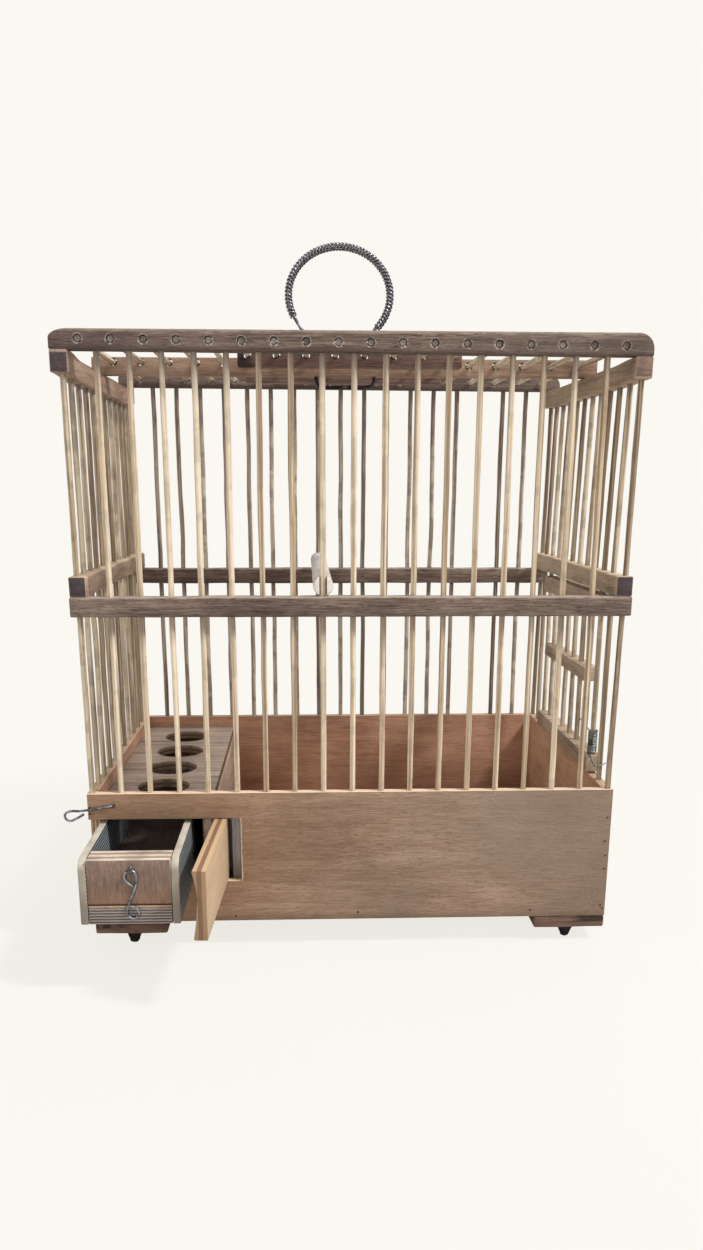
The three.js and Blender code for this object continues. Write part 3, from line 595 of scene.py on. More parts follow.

# %% [markdown]
# ### Sticks
#
# No two sticks are alike: each has its own tone and a lighter or darker streak along it, and a length near
# each rail that shades it is painted grey as painted shade. The tone and the place along the stick come from
# attributes that the Geometry Nodes tree stores, so one material paints a whole wall and still gives each
# stick its own face.

# %% The stick material
def stick_wood(name, tones, axis, mottle=0.3, ends=0.5, shaded=(2.0, 3.0), soil_and_shade=0.0, sawn_ends=0.0):
    """tones are dark, middle and pale. shaded is the share of the length, from its foot, where the stick
    turns grey: painted shade under the top rail. soil is how strong the painted shade is just under the
    middle rail."""
    def build(graph, place, normal):
        dark, middle, pale = tones
        tone = graph.node("ShaderNodeAttribute", attribute_name="tone", out="Fac")
        run = graph.node("ShaderNodeAttribute", attribute_name="run", out="Fac")
        streaks = graph.noise(place, along(axis, 6.0, 560.0), detail=2.0, roughness=0.6)
        fibres = graph.noise(place, along(axis, 70.0, 2300.0), detail=2.0, move=3.0)
        knots = graph.noise(place, along(axis, 55.0, 55.0), detail=3.0, roughness=0.6, move=9.0)
        mixed = 0.5 + (streaks - 0.5) * 1.7 + (fibres - 0.5) * 0.4 + (tone - 0.5) * 0.5
        colour = graph.ramp(mixed, [(0.2, dark), (0.5, middle), (0.8, pale)])
        patch = (knots + (tone - 0.5) * 0.12).rise(0.52, 0.62) * mottle
        colour = graph.mix(patch, colour, paint(104, 88, 76))
        # painted shade under the top rail: the stick turns grey towards its head
        grey = run.rise(*shaded) * (0.6 + (tone - 0.5) * 0.6)
        colour = graph.mix(grey, colour, paint(112, 98, 90))
        # painted shade of the middle rail, just under it
        middle_rail_shade = (run + (knots - 0.5) * 0.06).rise(0.35, 0.415) * run.rise(0.47,
                                                                           0.45) * soil_and_shade * (0.4 + tone * 0.6)
        colour = graph.mix(middle_rail_shade, colour, paint(118, 102, 90))
        sunk = (0.5 - (run - 0.5).size()).rise(0.012, 0.0)
        colour = graph.mix(sunk * ends, colour, paint(60, 46, 38))
        sawn = graph.split(normal)[axis].size().rise(0.7, 0.95) * sawn_ends
        end_tone = graph.mix(knots.rise(0.4, 0.6), paint(92, 82, 76), paint(132, 122, 114))
        colour = graph.mix(sawn, colour, end_tone)
        height = (streaks - 0.5) * (0.3 * MM) + (fibres - 0.5) * (0.05 * MM)
        return colour, height, None
    return surface(name, build, roughness=0.62, specular=0.35)


STICK_TONES = (paint(142, 119, 94), paint(192, 171, 143), paint(222, 205, 181))
# the back sticks' tones are a darker, greyer copy: painted shade on the back wall
BACK_SHADED_TONES = (paint(108, 92, 80), paint(162, 147, 128), paint(196, 184, 166))
SIDE_TONES = (paint(112, 92, 72), paint(166, 147, 121), paint(202, 187, 162))
ROOF_TONES = (paint(134, 110, 88), paint(178, 158, 130), paint(210, 194, 168))
front_stick_wood = stick_wood("front_stick_wood", STICK_TONES, Z, mottle=0.22, shaded=(0.86, 0.99), soil_and_shade=0.75)
back_stick_wood = stick_wood("back_stick_wood", BACK_SHADED_TONES, Z, mottle=0.5, shaded=(0.78, 0.94), soil_and_shade=0.9)
side_stick_wood = stick_wood("side_stick_wood", SIDE_TONES, Z, mottle=0.38, shaded=(0.86, 0.98))
roof_stick_wood = stick_wood("roof_stick_wood", ROOF_TONES, Y, mottle=0.4, ends=0.0, sawn_ends=1.0)

# %% [markdown]
# ### Steel, rubber and the grey perch

# %% Wire, tips and perch
def steel(name, dull, bright, roughness=0.36, spots=260.0, dark_below=None):
    """Wire. spots is how fine its tarnish is, and dark_below the level in mm under which it is black."""
    def build(graph, place, normal):
        tarnish = graph.noise(place, spots, detail=3.0, roughness=0.6)
        drawn = graph.noise(place, 1400.0, detail=1.0, move=4.0)
        colour = graph.mix(tarnish.rise(0.35, 0.65), dull, bright)
        if dark_below is not None:
            black = graph.split(place)[2].reach(dark_below + 4, dark_below)
            colour = graph.mix(black * 0.92, colour, paint(44, 36, 36))
        return colour, (drawn - 0.5) * (0.04 * MM), tarnish.rise(0.7, 0.3) * 0.25 + roughness
    return surface(name, build, specular=0.5, metallic=1.0)


def rubber_build(graph, place, normal):
    crumbs = graph.noise(place, 420.0, detail=3.0, roughness=0.7)
    colour = graph.mix(crumbs.rise(0.5, 0.75), paint(24, 20, 20), paint(62, 50, 46))
    return colour, (crumbs - 0.5) * (0.8 * MM), None


def perch_build(graph, place, normal):
    scuffs = graph.noise(place, (160.0, 22.0, 160.0), detail=3.0)
    dust = graph.noise(place, 60.0, detail=2.0, move=3.0)
    colour = graph.mix(scuffs.rise(0.3, 0.7), paint(182, 172, 166), paint(214, 206, 200))
    colour = graph.mix(dust.rise(0.55, 0.75) * 0.4, colour, paint(164, 150, 140))
    cut = graph.split(normal)[1].size().rise(0.6, 0.9)
    return graph.mix(cut * 0.5, colour, paint(226, 216, 206)), (scuffs - 0.5) * (0.1 * MM), None


wire_steel = steel("wire_steel", paint(84, 86, 92), paint(160, 164, 170), roughness=0.32)
ring_steel = steel("ring_steel", paint(92, 92, 98), paint(166, 170, 176), dark_below=ROOF_LOW + 4)
spring_steel = steel("spring_steel", paint(92, 96, 92), paint(178, 182, 176), roughness=0.3)
grip_steel = steel("grip_steel", paint(88, 84, 90), paint(168, 164, 170), roughness=0.3, spots=1100.0)
rubber = surface("foot_rubber", rubber_build, roughness=0.7)
perch_grey = surface("perch_grey", perch_build, roughness=0.55)
print("materials:", len(bpy.data.materials))

# %% [markdown]
# ## Making pieces
#
# A finished piece is a plain mesh at the origin, with its place in its vertices. Three makers cover the
# joinery: a block with eased edges and a slight hand-planed wander, a plate cut to an outline, and a wire
# bent along points. Each ends in the same call, which says what the piece stands for and what it rides on.

# %% A finished piece
BODY_OF = {node: body for body, nodes in frame["record"]["behaviour"]["bodies"].items() for node in nodes}


def as_object(name, data):
    made = bpy.data.objects.new(name, data)
    bpy.context.scene.collection.objects.link(made)
    return made


def flattened(made):
    """A plain mesh of an object with its modifiers or its curve worked out. The object is removed."""
    graph = bpy.context.evaluated_depsgraph_get()
    mesh = bpy.data.meshes.new_from_object(made.evaluated_get(graph))
    data = made.data
    name = made.name
    bpy.data.objects.remove(made)
    if isinstance(data, bpy.types.Curve):
        bpy.data.curves.remove(data)
    mesh.name = name
    return mesh


def finish(name, mesh, material, *nodes, body=None, smooth=40.0):
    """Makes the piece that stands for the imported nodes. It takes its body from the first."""
    if material:
        mesh.materials.clear()
        mesh.materials.append(material)
    mesh.shade_smooth()
    mesh.set_sharp_from_angle(angle=math.radians(smooth))
    made = as_object(name, mesh)
    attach(made, body or BODY_OF[nodes[0]])
    if body is None:
        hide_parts(*nodes)
    return made


def from_bmesh(bm, name):
    mesh = bpy.data.meshes.new(name)
    bmesh.ops.recalc_face_normals(bm, faces=bm.faces)
    bm.to_mesh(mesh)
    bm.free()
    return mesh


# %% Blocks, plates and wires
def block(name, low, high, ease=0.5, wander=0.12, cuts=12):
    """A bevelled bar from low to high, in millimetres, cut into lengths that wander from true by a hair."""
    bm = bmesh.new()
    bmesh.ops.create_cube(bm, size=1.0)
    for v in bm.verts:
        v.co = mm(*[high[i] if v.co[i] > 0 else low[i] for i in range(3)])
    bmesh.ops.bevel(bm, geom=bm.edges[:], offset=ease * MM, segments=2, profile=0.5, affect="EDGES")
    sides = [high[i] - low[i] for i in range(3)]
    axis = sides.index(max(sides))
    for k in range(1, cuts):
        at = Vector()
        at[axis] = (low[axis] + sides[axis] * k / cuts) * MM
        across = Vector([1.0 if i == axis else 0.0 for i in range(3)])
        bmesh.ops.bisect_plane(bm, geom=bm.verts[:] + bm.edges[:] + bm.faces[:], plane_co=at, plane_no=across)
    for v in bm.verts:
        drift = noise.noise_vector(v.co * 45.0) * (wander * MM)
        drift[axis] = 0.0
        v.co += drift
    return from_bmesh(bm, name)


PLATE_FRAMES = {  # which way an outline's (across, up) and the thickness run
    "x": Matrix(((1, 0, 0, 0), (0, 0, -1, 0), (0, 1, 0, 0), (0, 0, 0, 1))),
    "y": Matrix(((0, 0, 1, 0), (1, 0, 0, 0), (0, 1, 0, 0), (0, 0, 0, 1))),
    "flat": Matrix.Identity(4),
}


def plate(name, outline, across, start, thick, holes=(), ease=0.35):
    """A sheet cut to an outline of (across, up) points in mm, with round edges. start is its lower face."""
    curve = bpy.data.curves.new(name, "CURVE")
    curve.dimensions, curve.fill_mode = "2D", "BOTH"
    for loop in (outline, *holes):
        spline = curve.splines.new("POLY")
        spline.points.add(len(loop) - 1)
        for point, (a, b) in zip(spline.points, loop):
            point.co = (a * MM, b * MM, 0.0, 1.0)
        spline.use_cyclic_u = True
    curve.extrude = (thick / 2 - ease) * MM
    curve.bevel_depth, curve.bevel_resolution, curve.offset = ease * MM, 1, -ease * MM
    mesh = flattened(as_object(name, curve))
    middle = (start + thick / 2) * MM
    place = {"x": (0, middle, 0), "y": (middle, 0, 0), "flat": (0, 0, middle)}[across]
    mesh.transform(Matrix.Translation(place) @ PLATE_FRAMES[across])
    bm = bmesh.new()
    bm.from_mesh(mesh)
    bmesh.ops.remove_doubles(bm, verts=bm.verts, dist=1e-6)
    bpy.data.meshes.remove(mesh)
    return from_bmesh(bm, name)


def arc(a, b, radius, start, end, steps=8):
    """Points of an arc about (a, b), from one angle to another in degrees."""
    turns = [math.radians(start + (end - start) * i / steps) for i in range(steps + 1)]
    return [(a + radius * math.cos(t), b + radius * math.sin(t)) for t in turns]


def wire(name, points, radius, sides=4, steps=6):
    """A round wire through points in millimetres."""
    curve = bpy.data.curves.new(name, "CURVE")
    curve.dimensions = "3D"
    spline = curve.splines.new("BEZIER")
    spline.bezier_points.add(len(points) - 1)
    for bezier, point in zip(spline.bezier_points, points):
        bezier.co = mm(*point)
        bezier.handle_left_type = bezier.handle_right_type = "AUTO"
    spline.resolution_u = steps
    curve.bevel_depth, curve.bevel_resolution, curve.use_fill_caps = radius * MM, sides, True
    return flattened(as_object(name, curve))


def boxed(name, node, material, **shape):
    """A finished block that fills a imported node's box."""
    return finish(name, block(name, *span(node), **shape), material, node)


def bent(name, points, radius, material, node, **shape):
    """A finished wire."""
    return finish(name, wire(name, points, radius, **shape), material, node, smooth=80)


print("makers ready")

# %% [markdown]
# ## Geometry Nodes trees
#
# What repeats is grown by a tree. Sizes are the tree's named inputs, so the tree of round sticks makes a
# wall, a roof or a door from the lines it is given. A modifier's input is set by its identifier before the
# object is first evaluated, and the result is then taken as a plain mesh.

# %% Building a tree and growing a mesh with it
SOCKETS = {float: "NodeSocketFloat", int: "NodeSocketInt", Vector: "NodeSocketVector"}


def geometry_tree(name, defaults, build):
    """defaults is {input name: value}. build(graph, given) makes the geometry from a value for each name."""
    tree = bpy.data.node_groups.new(name, "GeometryNodeTree")
    tree.interface.new_socket("Geometry", in_out="INPUT", socket_type="NodeSocketGeometry")
    for key, value in defaults.items():
        socket = tree.interface.new_socket(key, in_out="INPUT", socket_type=SOCKETS[type(value)])
        socket.default_value = value
    tree.interface.new_socket("Material", in_out="INPUT", socket_type="NodeSocketMaterial")
    tree.interface.new_socket("Geometry", in_out="OUTPUT", socket_type="NodeSocketGeometry")
    graph = Graph(tree)
    start = tree.nodes.new("NodeGroupInput")
    given = {socket.name: Value(graph, socket) for socket in start.outputs if socket.name}
    grown = build(graph, given)
    real = graph.node("GeometryNodeRealizeInstances", {0: grown})
    done = graph.node("GeometryNodeSetMaterial", {"Geometry": real, "Material": given["Material"]})
    end = tree.nodes.new("NodeGroupOutput")
    tree.links.new(done.socket, end.inputs[0])
    return tree


def grow(name, mesh, tree, material, **sizes):
    """The tree's result on a mesh, as a plain mesh. An input named Hole Radius is given as hole_radius."""
    made = as_object(name, mesh)
    modifier = made.modifiers.new("grow", "NODES")
    modifier.node_group = tree
    known = {item.name.lower().replace(" ", "_"): item.identifier
             for item in tree.interface.items_tree if item.in_out == "INPUT"}
    modifier[known["material"]] = material
    for key, value in sizes.items():
        modifier[known[key]] = value
    return flattened(made)


def lines(name, pairs):
    """A mesh of straight edges, one for each pair of points in millimetres."""
    mesh = bpy.data.meshes.new(name)
    points = [mm(*p) for pair in pairs for p in pair]
    mesh.from_pydata(points, [(2 * i, 2 * i + 1) for i in range(len(pairs))], [])
    return mesh


def dots(name, points):
    mesh = bpy.data.meshes.new(name)
    mesh.from_pydata([mm(*p) for p in points], [], [])
    return mesh


# %% [markdown]
# ### Round sticks
#
# Each line becomes a curve, is cut into rings, and sways a little between its seated ends, as split and
# hand-rounded sticks do. The sway comes from noise whose fourth coordinate is the stick's own number, so no
# two lean alike.

# %% The tree of round sticks
def curve_number(graph):
    """The number of the curve that a point is on."""
    index = graph.node("GeometryNodeInputIndex")
    return graph.node("GeometryNodeFieldOnDomain", {0: index}, domain="CURVE", data_type="FLOAT")


def build_sticks(graph, given):
    curve = graph.node("GeometryNodeMeshToCurve", {0: given["Geometry"]})
    curve = graph.node("GeometryNodeResampleCurve", {"Curve": curve, "Count": given["Rings"]})
    run = graph.node("GeometryNodeSplineParameter", out="Factor")
    number = curve_number(graph)
    place = graph.node("GeometryNodeInputPosition")
    slow = graph.vector("MULTIPLY", place, (20.0, 20.0, 20.0))
    lean = graph.node("ShaderNodeTexNoise", {"Vector": slow, "W": number * 3.7 + given["Seed"], "Scale": 1.0,
                                             "Detail": 1.0}, out="Color", noise_dimensions="4D")
    centred = graph.vector("SUBTRACT", lean, (0.5, 0.5, 0.5))
    seated = (run * math.pi).sin().most(0.0) ** 0.6
    sway = graph.vector("SCALE", centred, out=0)
    graph.tree.links.new((seated * given["Sway"] * 2.0).socket, sway.socket.node.inputs["Scale"])
    curve = graph.node("GeometryNodeSetPosition", {"Geometry": curve, "Offset": sway})
    swell = graph.node("ShaderNodeTexNoise", {"Vector": graph.vector("MULTIPLY", place, (40.0, 40.0, 40.0)),
                                              "W": number * 1.3 + given["Seed"], "Scale": 1.0, "Detail": 1.0},
                       noise_dimensions="4D")
    circle = graph.node("GeometryNodeCurvePrimitiveCircle",
                        {"Resolution": given["Sides"], "Radius": given["Radius"]})
    tone = graph.node("FunctionNodeRandomValue", {2: 0.0, 3: 1.0, "ID": number, "Seed": given["Seed"]}, out=1,
                      data_type="FLOAT")
    for key, value in (("run", run), ("tone", tone)):
        curve = graph.node("GeometryNodeStoreNamedAttribute",
                           {"Geometry": curve, "Name": key, "Value": value},
                           data_type="FLOAT", domain="POINT")
    return graph.node("GeometryNodeCurveToMesh", {"Curve": curve, "Profile Curve": circle,
                                                  "Scale": 0.83 + swell * 0.26, "Fill Caps": True})


stick_tree = geometry_tree("round_sticks", {"Radius": STICK * MM, "Sides": 12, "Rings": 24, "Sway": 1.0 * MM,
                                            "Seed": 1}, build_sticks)


def sticks(name, pairs, material, *nodes, sway=0.8, seed=1, rings=24, body=None):
    mesh = grow(name, lines(name, pairs), stick_tree, material, sway=sway * MM, seed=seed, rings=rings)
    return finish(name, mesh, None, *nodes, body=body, smooth=60.0)


# %% [markdown]
# ### Drilled rails, nail heads and windings
#
# The top rails are drilled for the roof's sticks: a line of drills is taken from the rail with one Boolean.
# Nail heads are small discs on points. A winding follows a path and turns round it, so the number of turns
# is one input.

# %% The trees for drilling, nail heads and windings
def build_drilled(graph, given):
    drill = graph.node("GeometryNodeMeshCylinder", {"Vertices": 20, "Radius": given["Radius"],
                                                    "Depth": given["Depth"]})
    row = graph.node("GeometryNodeMeshLine", {"Count": given["Count"], "Start Location": given["Start"],
                                              "Offset": given["Step"]}, mode="OFFSET")
    shift = graph.node("FunctionNodeRandomValue", {0: (-0.0002, 0.0, -0.0002), 1: (0.0002, 0.0, 0.0002),
                                                   "Seed": given["Seed"]}, data_type="FLOAT_VECTOR")
    row = graph.node("GeometryNodeSetPosition", {"Geometry": row, "Offset": shift})
    drills = graph.node("GeometryNodeInstanceOnPoints", {"Points": row, "Instance": drill,
                                                         "Rotation": (math.pi / 2, 0.0, 0.0)})
    drills = graph.node("GeometryNodeRealizeInstances", {0: drills})
    return graph.node("GeometryNodeMeshBoolean", {0: given["Geometry"], 1: drills}, operation="DIFFERENCE",
                      solver="EXACT")


def build_nails(graph, given):
    head = graph.node("GeometryNodeMeshCylinder", {"Vertices": 10, "Radius": given["Head Radius"],
                                                   "Depth": given["Head Depth"]})
    size = graph.node("FunctionNodeRandomValue", {0: (0.8, 0.8, 1.0), 1: (1.2, 1.2, 1.0),
                                                  "Seed": given["Seed"]},
                      data_type="FLOAT_VECTOR")
    return graph.node("GeometryNodeInstanceOnPoints", {"Points": given["Geometry"], "Instance": head,
                                                       "Rotation": given["Facing"], "Scale": size})


def build_winding(graph, given):
    path = graph.node("GeometryNodeMeshToCurve", {0: given["Geometry"]})
    rings = given["Turns"] * given["Steps"]
    path = graph.node("GeometryNodeResampleCurve", {"Curve": path, "Count": rings})
    number = curve_number(graph)
    along_path = graph.node("GeometryNodeSplineParameter", out="Factor") * given["Turns"]
    turn = (along_path + number / given["Strands"]) * (2 * math.pi)
    ahead = graph.node("GeometryNodeInputTangent")
    side = (0.0, 1.0, 0.0)
    out = graph.vector("CROSS_PRODUCT", ahead, side)
    first = graph.vector("SCALE", out)
    graph.tree.links.new((turn.cos() * given["Coil Radius"]).socket, first.socket.node.inputs["Scale"])
    second = graph.join(0.0, turn.sin() * given["Coil Radius"], 0.0)
    coil = graph.node("GeometryNodeSetPosition", {"Geometry": path,
                                                  "Offset": graph.vector("ADD", first, second)})
    circle = graph.node("GeometryNodeCurvePrimitiveCircle", {"Resolution": 6, "Radius": given["Wire Radius"]})
    tube = graph.node("GeometryNodeCurveToMesh", {"Curve": coil, "Profile Curve": circle, "Fill Caps": True})
    return graph.node("GeometryNodeSetShadeSmooth", {"Geometry": tube})


drill_tree = geometry_tree("drilled_rail", {"Radius": HOLE * MM, "Depth": 0.03, "Count": 18,
                                            "Start": Vector((0, 0, 0)),
                                            "Step": mm(PITCH, 0, -PITCH / RAIL_X), "Seed": 3}, build_drilled)
nail_tree = geometry_tree("nail_heads", {"Head Radius": 0.6 * MM, "Head Depth": 0.5 * MM,
                                         "Facing": Vector((math.pi / 2, 0, 0)), "Seed": 5}, build_nails)
winding_tree = geometry_tree("winding", {"Turns": 24, "Strands": 3.0, "Steps": 24, "Coil Radius": 1.9 * MM,
                                         "Wire Radius": 0.5 * MM}, build_winding)
print("trees:", [tree.name for tree in bpy.data.node_groups])

# %% [markdown]
# ## The base box
#
# Four thin plywood panels with a floor let in between them. The front panel is one sheet with a notch for
# the hatch, open to the left: its outline is drawn as points and filled, so that the round inner corners
# come with it.

# %% The panels and the floor
notch = [
    (-BASE_X, LIFT), (BASE_X, LIFT), (BASE_X, BASE_TOP), (-BASE_X, BASE_TOP), (-BASE_X, HATCH_HIGH),
    *arc(HATCH_RIGHT - HATCH_CORNER, HATCH_HIGH - HATCH_CORNER, HATCH_CORNER, 90, 0, 4),
    *arc(HATCH_RIGHT - HATCH_CORNER, HATCH_LOW + HATCH_CORNER, HATCH_CORNER, 0, -90, 4),
    (-BASE_X, HATCH_LOW),
]
finish("base_front", plate("base_front", notch, "x", -BASE_Y, PLY), front_ply, "front_panel")
boxed("base_back", "back_panel", back_ply, ease=0.4, wander=0.1)
for side in ("left", "right"):
    boxed(f"base_{side}", f"{side}_panel", SIDE_PLY[side], ease=0.4, wander=0.1)
boxed("base_floor", "floor_board", floor_ply, ease=0.4, wander=0.1)

# %% [markdown]
# ## The feeder compartment
#
# A board with four round holes covers the drawer, so that birds put their heads through it to feed. It is a
# plate with four holes in its outline.

# %% The feeder board, its riser, the drawer's shelf and the board behind the hatch
FEEDER_X, FEEDER_Y, FEEDER_RADIUS, FEEDER_PITCH = -123.85, 3.0, 17.0, 46.0
low, high = span("feeder_board")
corners = [(low[0], low[1]), (high[0], low[1]), (high[0], high[1]), (low[0], high[1])]
holes = [arc(FEEDER_X, FEEDER_Y + (i - 1.5) * FEEDER_PITCH, FEEDER_RADIUS, 360, 0, 40)[:-1] for i in range(4)]
finish("feeder_top", plate("feeder_top", corners, "flat", low[2], high[2] - low[2], holes, ease=0.5),
       feeder_ply, "feeder_board")
for name, node in (("feeder_side", "feeder_riser"), ("drawer_runner", "drawer_shelf"),
                   ("drawer_fence", "drawer_guide")):
    boxed(name, node, riser_ply, ease=0.4)
low, high = span("stop_board")
HEEL_X = -76.3
RISER_X = -88.7
STOP_Y = high[1] - 3
profile = [(RISER_X, STOP_Y), (HEEL_X, STOP_Y), (HEEL_X, low[1]), (high[0], low[1]), (high[0], high[1]),
           (RISER_X, high[1])]
finish("hatch_board", plate("hatch_board", profile, "flat", low[2], high[2] - low[2], ease=0.2), grey_board,
       "stop_board")

# %% [markdown]
# ## Walls, rails and roof

# %% Sticks of the four walls
def uprights(places, low, high, lean=0.0):
    """Sticks that lean outwards by so many millimetres over their length."""
    return [((x, y, low), (x + math.copysign(lean, x), y, high)) for x, y in places]


LEAN_LEFT, LEAN_RIGHT = 1.2, 2.4  # the side walls aren't quite plumb
foot_z, head_z = BASE_TOP - LET_IN, ROOF_LOW + LET_IN - 0.5
side_head = span("left_grille")[1][2] - 0.3
corner_places = {"front": -WALL_Y, "back": WALL_Y}
for wall, y in corner_places.items():
    wood = front_stick_wood if wall == "front" else back_stick_wood
    seed = 3 if wall == "front" else 8
    sticks(f"sticks_{wall}", uprights([(x, y) for x in FRONT_X], foot_z, head_z), wood, f"{wall}_grille",
           seed=seed, sway=0.8 if wall == "front" else 1.5)
    pairs = uprights([(-WALL_X, y)], foot_z, head_z, LEAN_LEFT)
    pairs += uprights([(WALL_X, y)], foot_z, head_z, LEAN_RIGHT)
    sticks(f"corner_sticks_{wall}", pairs, side_stick_wood, f"corner_stick_{wall}_left",
           f"corner_stick_{wall}_right", seed=seed + 1)
sticks("sticks_left", uprights([(-WALL_X, y) for y in SIDE_Y[1:-1]], foot_z, side_head, LEAN_LEFT),
       side_stick_wood, "left_grille", seed=21, sway=1.0)
SIDE_HALF = 5.85  # half the side middle rails' height
rail_middle = span("right_grille")[0][2] + SIDE_HALF
sticks("sticks_right", uprights([(WALL_X, y) for y in SIDE_Y[1:-1]], rail_middle, side_head, LEAN_RIGHT)
       + uprights([(WALL_X, SIDE_Y[k]) for k in (1, 2, 9, 10)], foot_z, rail_middle), side_stick_wood,
       "right_grille", "right_stick_front", "door_hinge_stick", "door_stop_stick", "right_stick_back",
       seed=34, sway=0.45)
print("wall sticks done")

# %% [markdown]
# The rails are planed bars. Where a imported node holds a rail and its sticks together, the visual pieces
# part them again, so that each gets its own wood.

# %% Middle rails and top rails
LOW_LEFT, LOW_RIGHT = 2.3, 0.8  # how far the top rails' lower edge is over its lowest level


def roof_level(x):
    """The height of the roof's stick at x: the row comes down a little to the right."""
    return ROOF_STICK_Z + 0.5 - x / RAIL_X


for wall, y in corner_places.items():
    low, high = (-RAIL_X, y - HALF_RAIL, MIDDLE_LOW), (RAIL_X, y + HALF_RAIL, MIDDLE_HIGH)
    finish(f"rail_{wall}_middle", block(f"rail_{wall}_middle", low, high, ease=0.8, wander=0.4, cuts=60),
           middle_rail_wood, f"{wall}_grille")
for wall, x in (("left", -WALL_X), ("right", WALL_X)):
    low, high = (x - HALF_RAIL, -RAIL_Y, SIDE_MIDDLE[0]), (x + HALF_RAIL, RAIL_Y, SIDE_MIDDLE[1])
    finish(f"rail_{wall}_middle", block(f"rail_{wall}_middle", low, high, ease=1.0, wander=0.4, cuts=40),
           SIDE_WOODS[wall, "middle"], f"{wall}_grille")
    low, high = span(f"top_rail_{wall}")
    high[2] = ROOF_LOW + 0.2  # the rails touch, with no light between them
    bar = block(f"rail_{wall}_top", low, high, ease=0.8, wander=0.3, cuts=40)
    lifted = LOW_LEFT if wall == "left" else LOW_RIGHT
    for v in bar.vertices:
        end = min(1.0, max(0.0, (abs(v.co.y) / MM - 78) / 24))
        v.co += mm(math.copysign(2.0, x), 0, lifted * end * end * (3 - 2 * end))
    finish(f"rail_{wall}_top", bar, SIDE_WOODS[wall, "top"], f"top_rail_{wall}")


def long_rail(name, low, high, ease=0.8):
    """A top rail along X: its upper corners are rounded and its lower edge rises a little to the left."""
    left = [(low[0] + 11 * (1 + a), high[2] - 5 * (1 - b)) for a, b in arc(0, 0, 1, 180, 90, 8)]
    outline = [(low[0] + 0.6, low[2] + LOW_LEFT), (low[0], low[2] + LOW_LEFT + 0.6), *left,
               *arc(high[0] - 9, high[2] - 9, 9, 90, 0, 8), (high[0], low[2] + LOW_RIGHT + 0.6),
               (high[0] - 0.6, low[2] + LOW_RIGHT)]
    return plate(name, outline[::-1], "x", low[1], high[1] - low[1], ease=ease)


for wall, y in corner_places.items():
    name = f"rail_{wall}_top"
    bar = long_rail(name, *span(f"top_rail_{wall}"))
    drilled = grow(name, bar, drill_tree, front_rail_wood, start=mm(ROOF_X[0], y, roof_level(ROOF_X[0])))
    finish(name, drilled, None, f"top_rail_{wall}", smooth=35.0)

# %% [markdown]
# The roof's sticks run from front to back through the top rails, the middle rail and two cleats. Their ends
# stop just under the rails' faces, and the drills are a little wider, so a dark crescent stays round each
# end.

# %% The roof
ROOF_END, ROOF_RAIL_TALL = RAIL_Y - 0.6, 11
WIDE_HOLE = HOLE + 0.4
sticks("roof_sticks", [((x, -ROOF_END, roof_level(x)), (x, ROOF_END, roof_level(x))) for x in ROOF_X],
       roof_stick_wood, "roof_grille", seed=55, sway=0.5)
bar = block("rail_roof", (-RAIL_X, -HALF_RAIL, ROOF_LOW), (RAIL_X, HALF_RAIL, ROOF_LOW + ROOF_RAIL_TALL),
            ease=0.6, wander=0.2, cuts=2)
start = mm(ROOF_X[0], 0, roof_level(ROOF_X[0]))
finish("rail_roof", grow("rail_roof", bar, drill_tree, roof_rail_wood, start=start, radius=WIDE_HOLE * MM),
       None, "roof_grille", smooth=35.0)
for place in ("front", "back"):
    low, high = span(f"roof_cleat_{place}")
    bar = block(f"cleat_{place}", low, high, ease=1.0, wander=0.2, cuts=2)
    start = mm(ROOF_X[5], (low[1] + high[1]) / 2, roof_level(ROOF_X[5]))
    drilled = grow(f"cleat_{place}", bar, drill_tree, cleat_wood, start=start, count=8, radius=WIDE_HOLE * MM)
    finish(f"cleat_{place}", drilled, None, f"roof_cleat_{place}", smooth=35.0)
print("roof done")

# %% [markdown]
# ## The seed drawer
#
# Two thin sides with a rounded front corner, a thick front board and a thick bottom board between them. The
# sides are a ribbed grey sheet with cream edges; their ribs are painted as light and dark stripes, a painted
# highlight and painted shade. The front board is brown with a cream plywood edge on top, and the bottom board
# shows its many layers under it. Its top face is painted dark as painted shade inside the drawer, with seed
# dust on it.

# %% The drawer's materials
drawer_low, drawer_high = span("drawer_side_left")
front_low, front_high = span("drawer_front")
DRAWER_FRONT = front_low[1]


def ribbed_build(graph, place, normal):
    _, y, z = graph.split(place)
    facing = graph.split(normal)[0].size()
    ragged = graph.noise(place, (60.0, 30.0, 60.0), detail=2.0) - 0.5
    rib = ((z + ragged * (0.5 * MM)) * (2 * math.pi / (2.3 * MM))).sin()
    wear = graph.noise(place, (50.0, 22.0, 240.0), detail=2.0, move=2.0)
    # the ribs' light and dark stripes are a painted highlight and painted shade
    ribs_painted_lit_and_shaded = graph.mix((rib + (wear - 0.5) * 1.3).rise(-0.5, 0.8), paint(56, 58, 63), paint(138, 144, 148))
    fibres = graph.noise(place, (160.0, 60.0, 160.0), detail=3.0, move=5.0)
    cream = graph.mix(fibres.rise(0.3, 0.7), paint(176, 166, 150), paint(200, 191, 176))
    front = y.reach(DRAWER_FRONT + 8, DRAWER_FRONT + 1) * z.reach(64, 58)
    cream = graph.mix(front * 0.75, cream, paint(142, 131, 117))
    low_front = z.reach(50, 34) * y.reach(DRAWER_FRONT + 8, DRAWER_FRONT + 1)
    cream = graph.mix(low_front * 0.6, cream, paint(106, 96, 86))
    edge = facing.rise(0.85, 0.6)
    return graph.mix(edge, ribs_painted_lit_and_shaded, cream), rib * (0.12 * MM) * (1 - edge), None


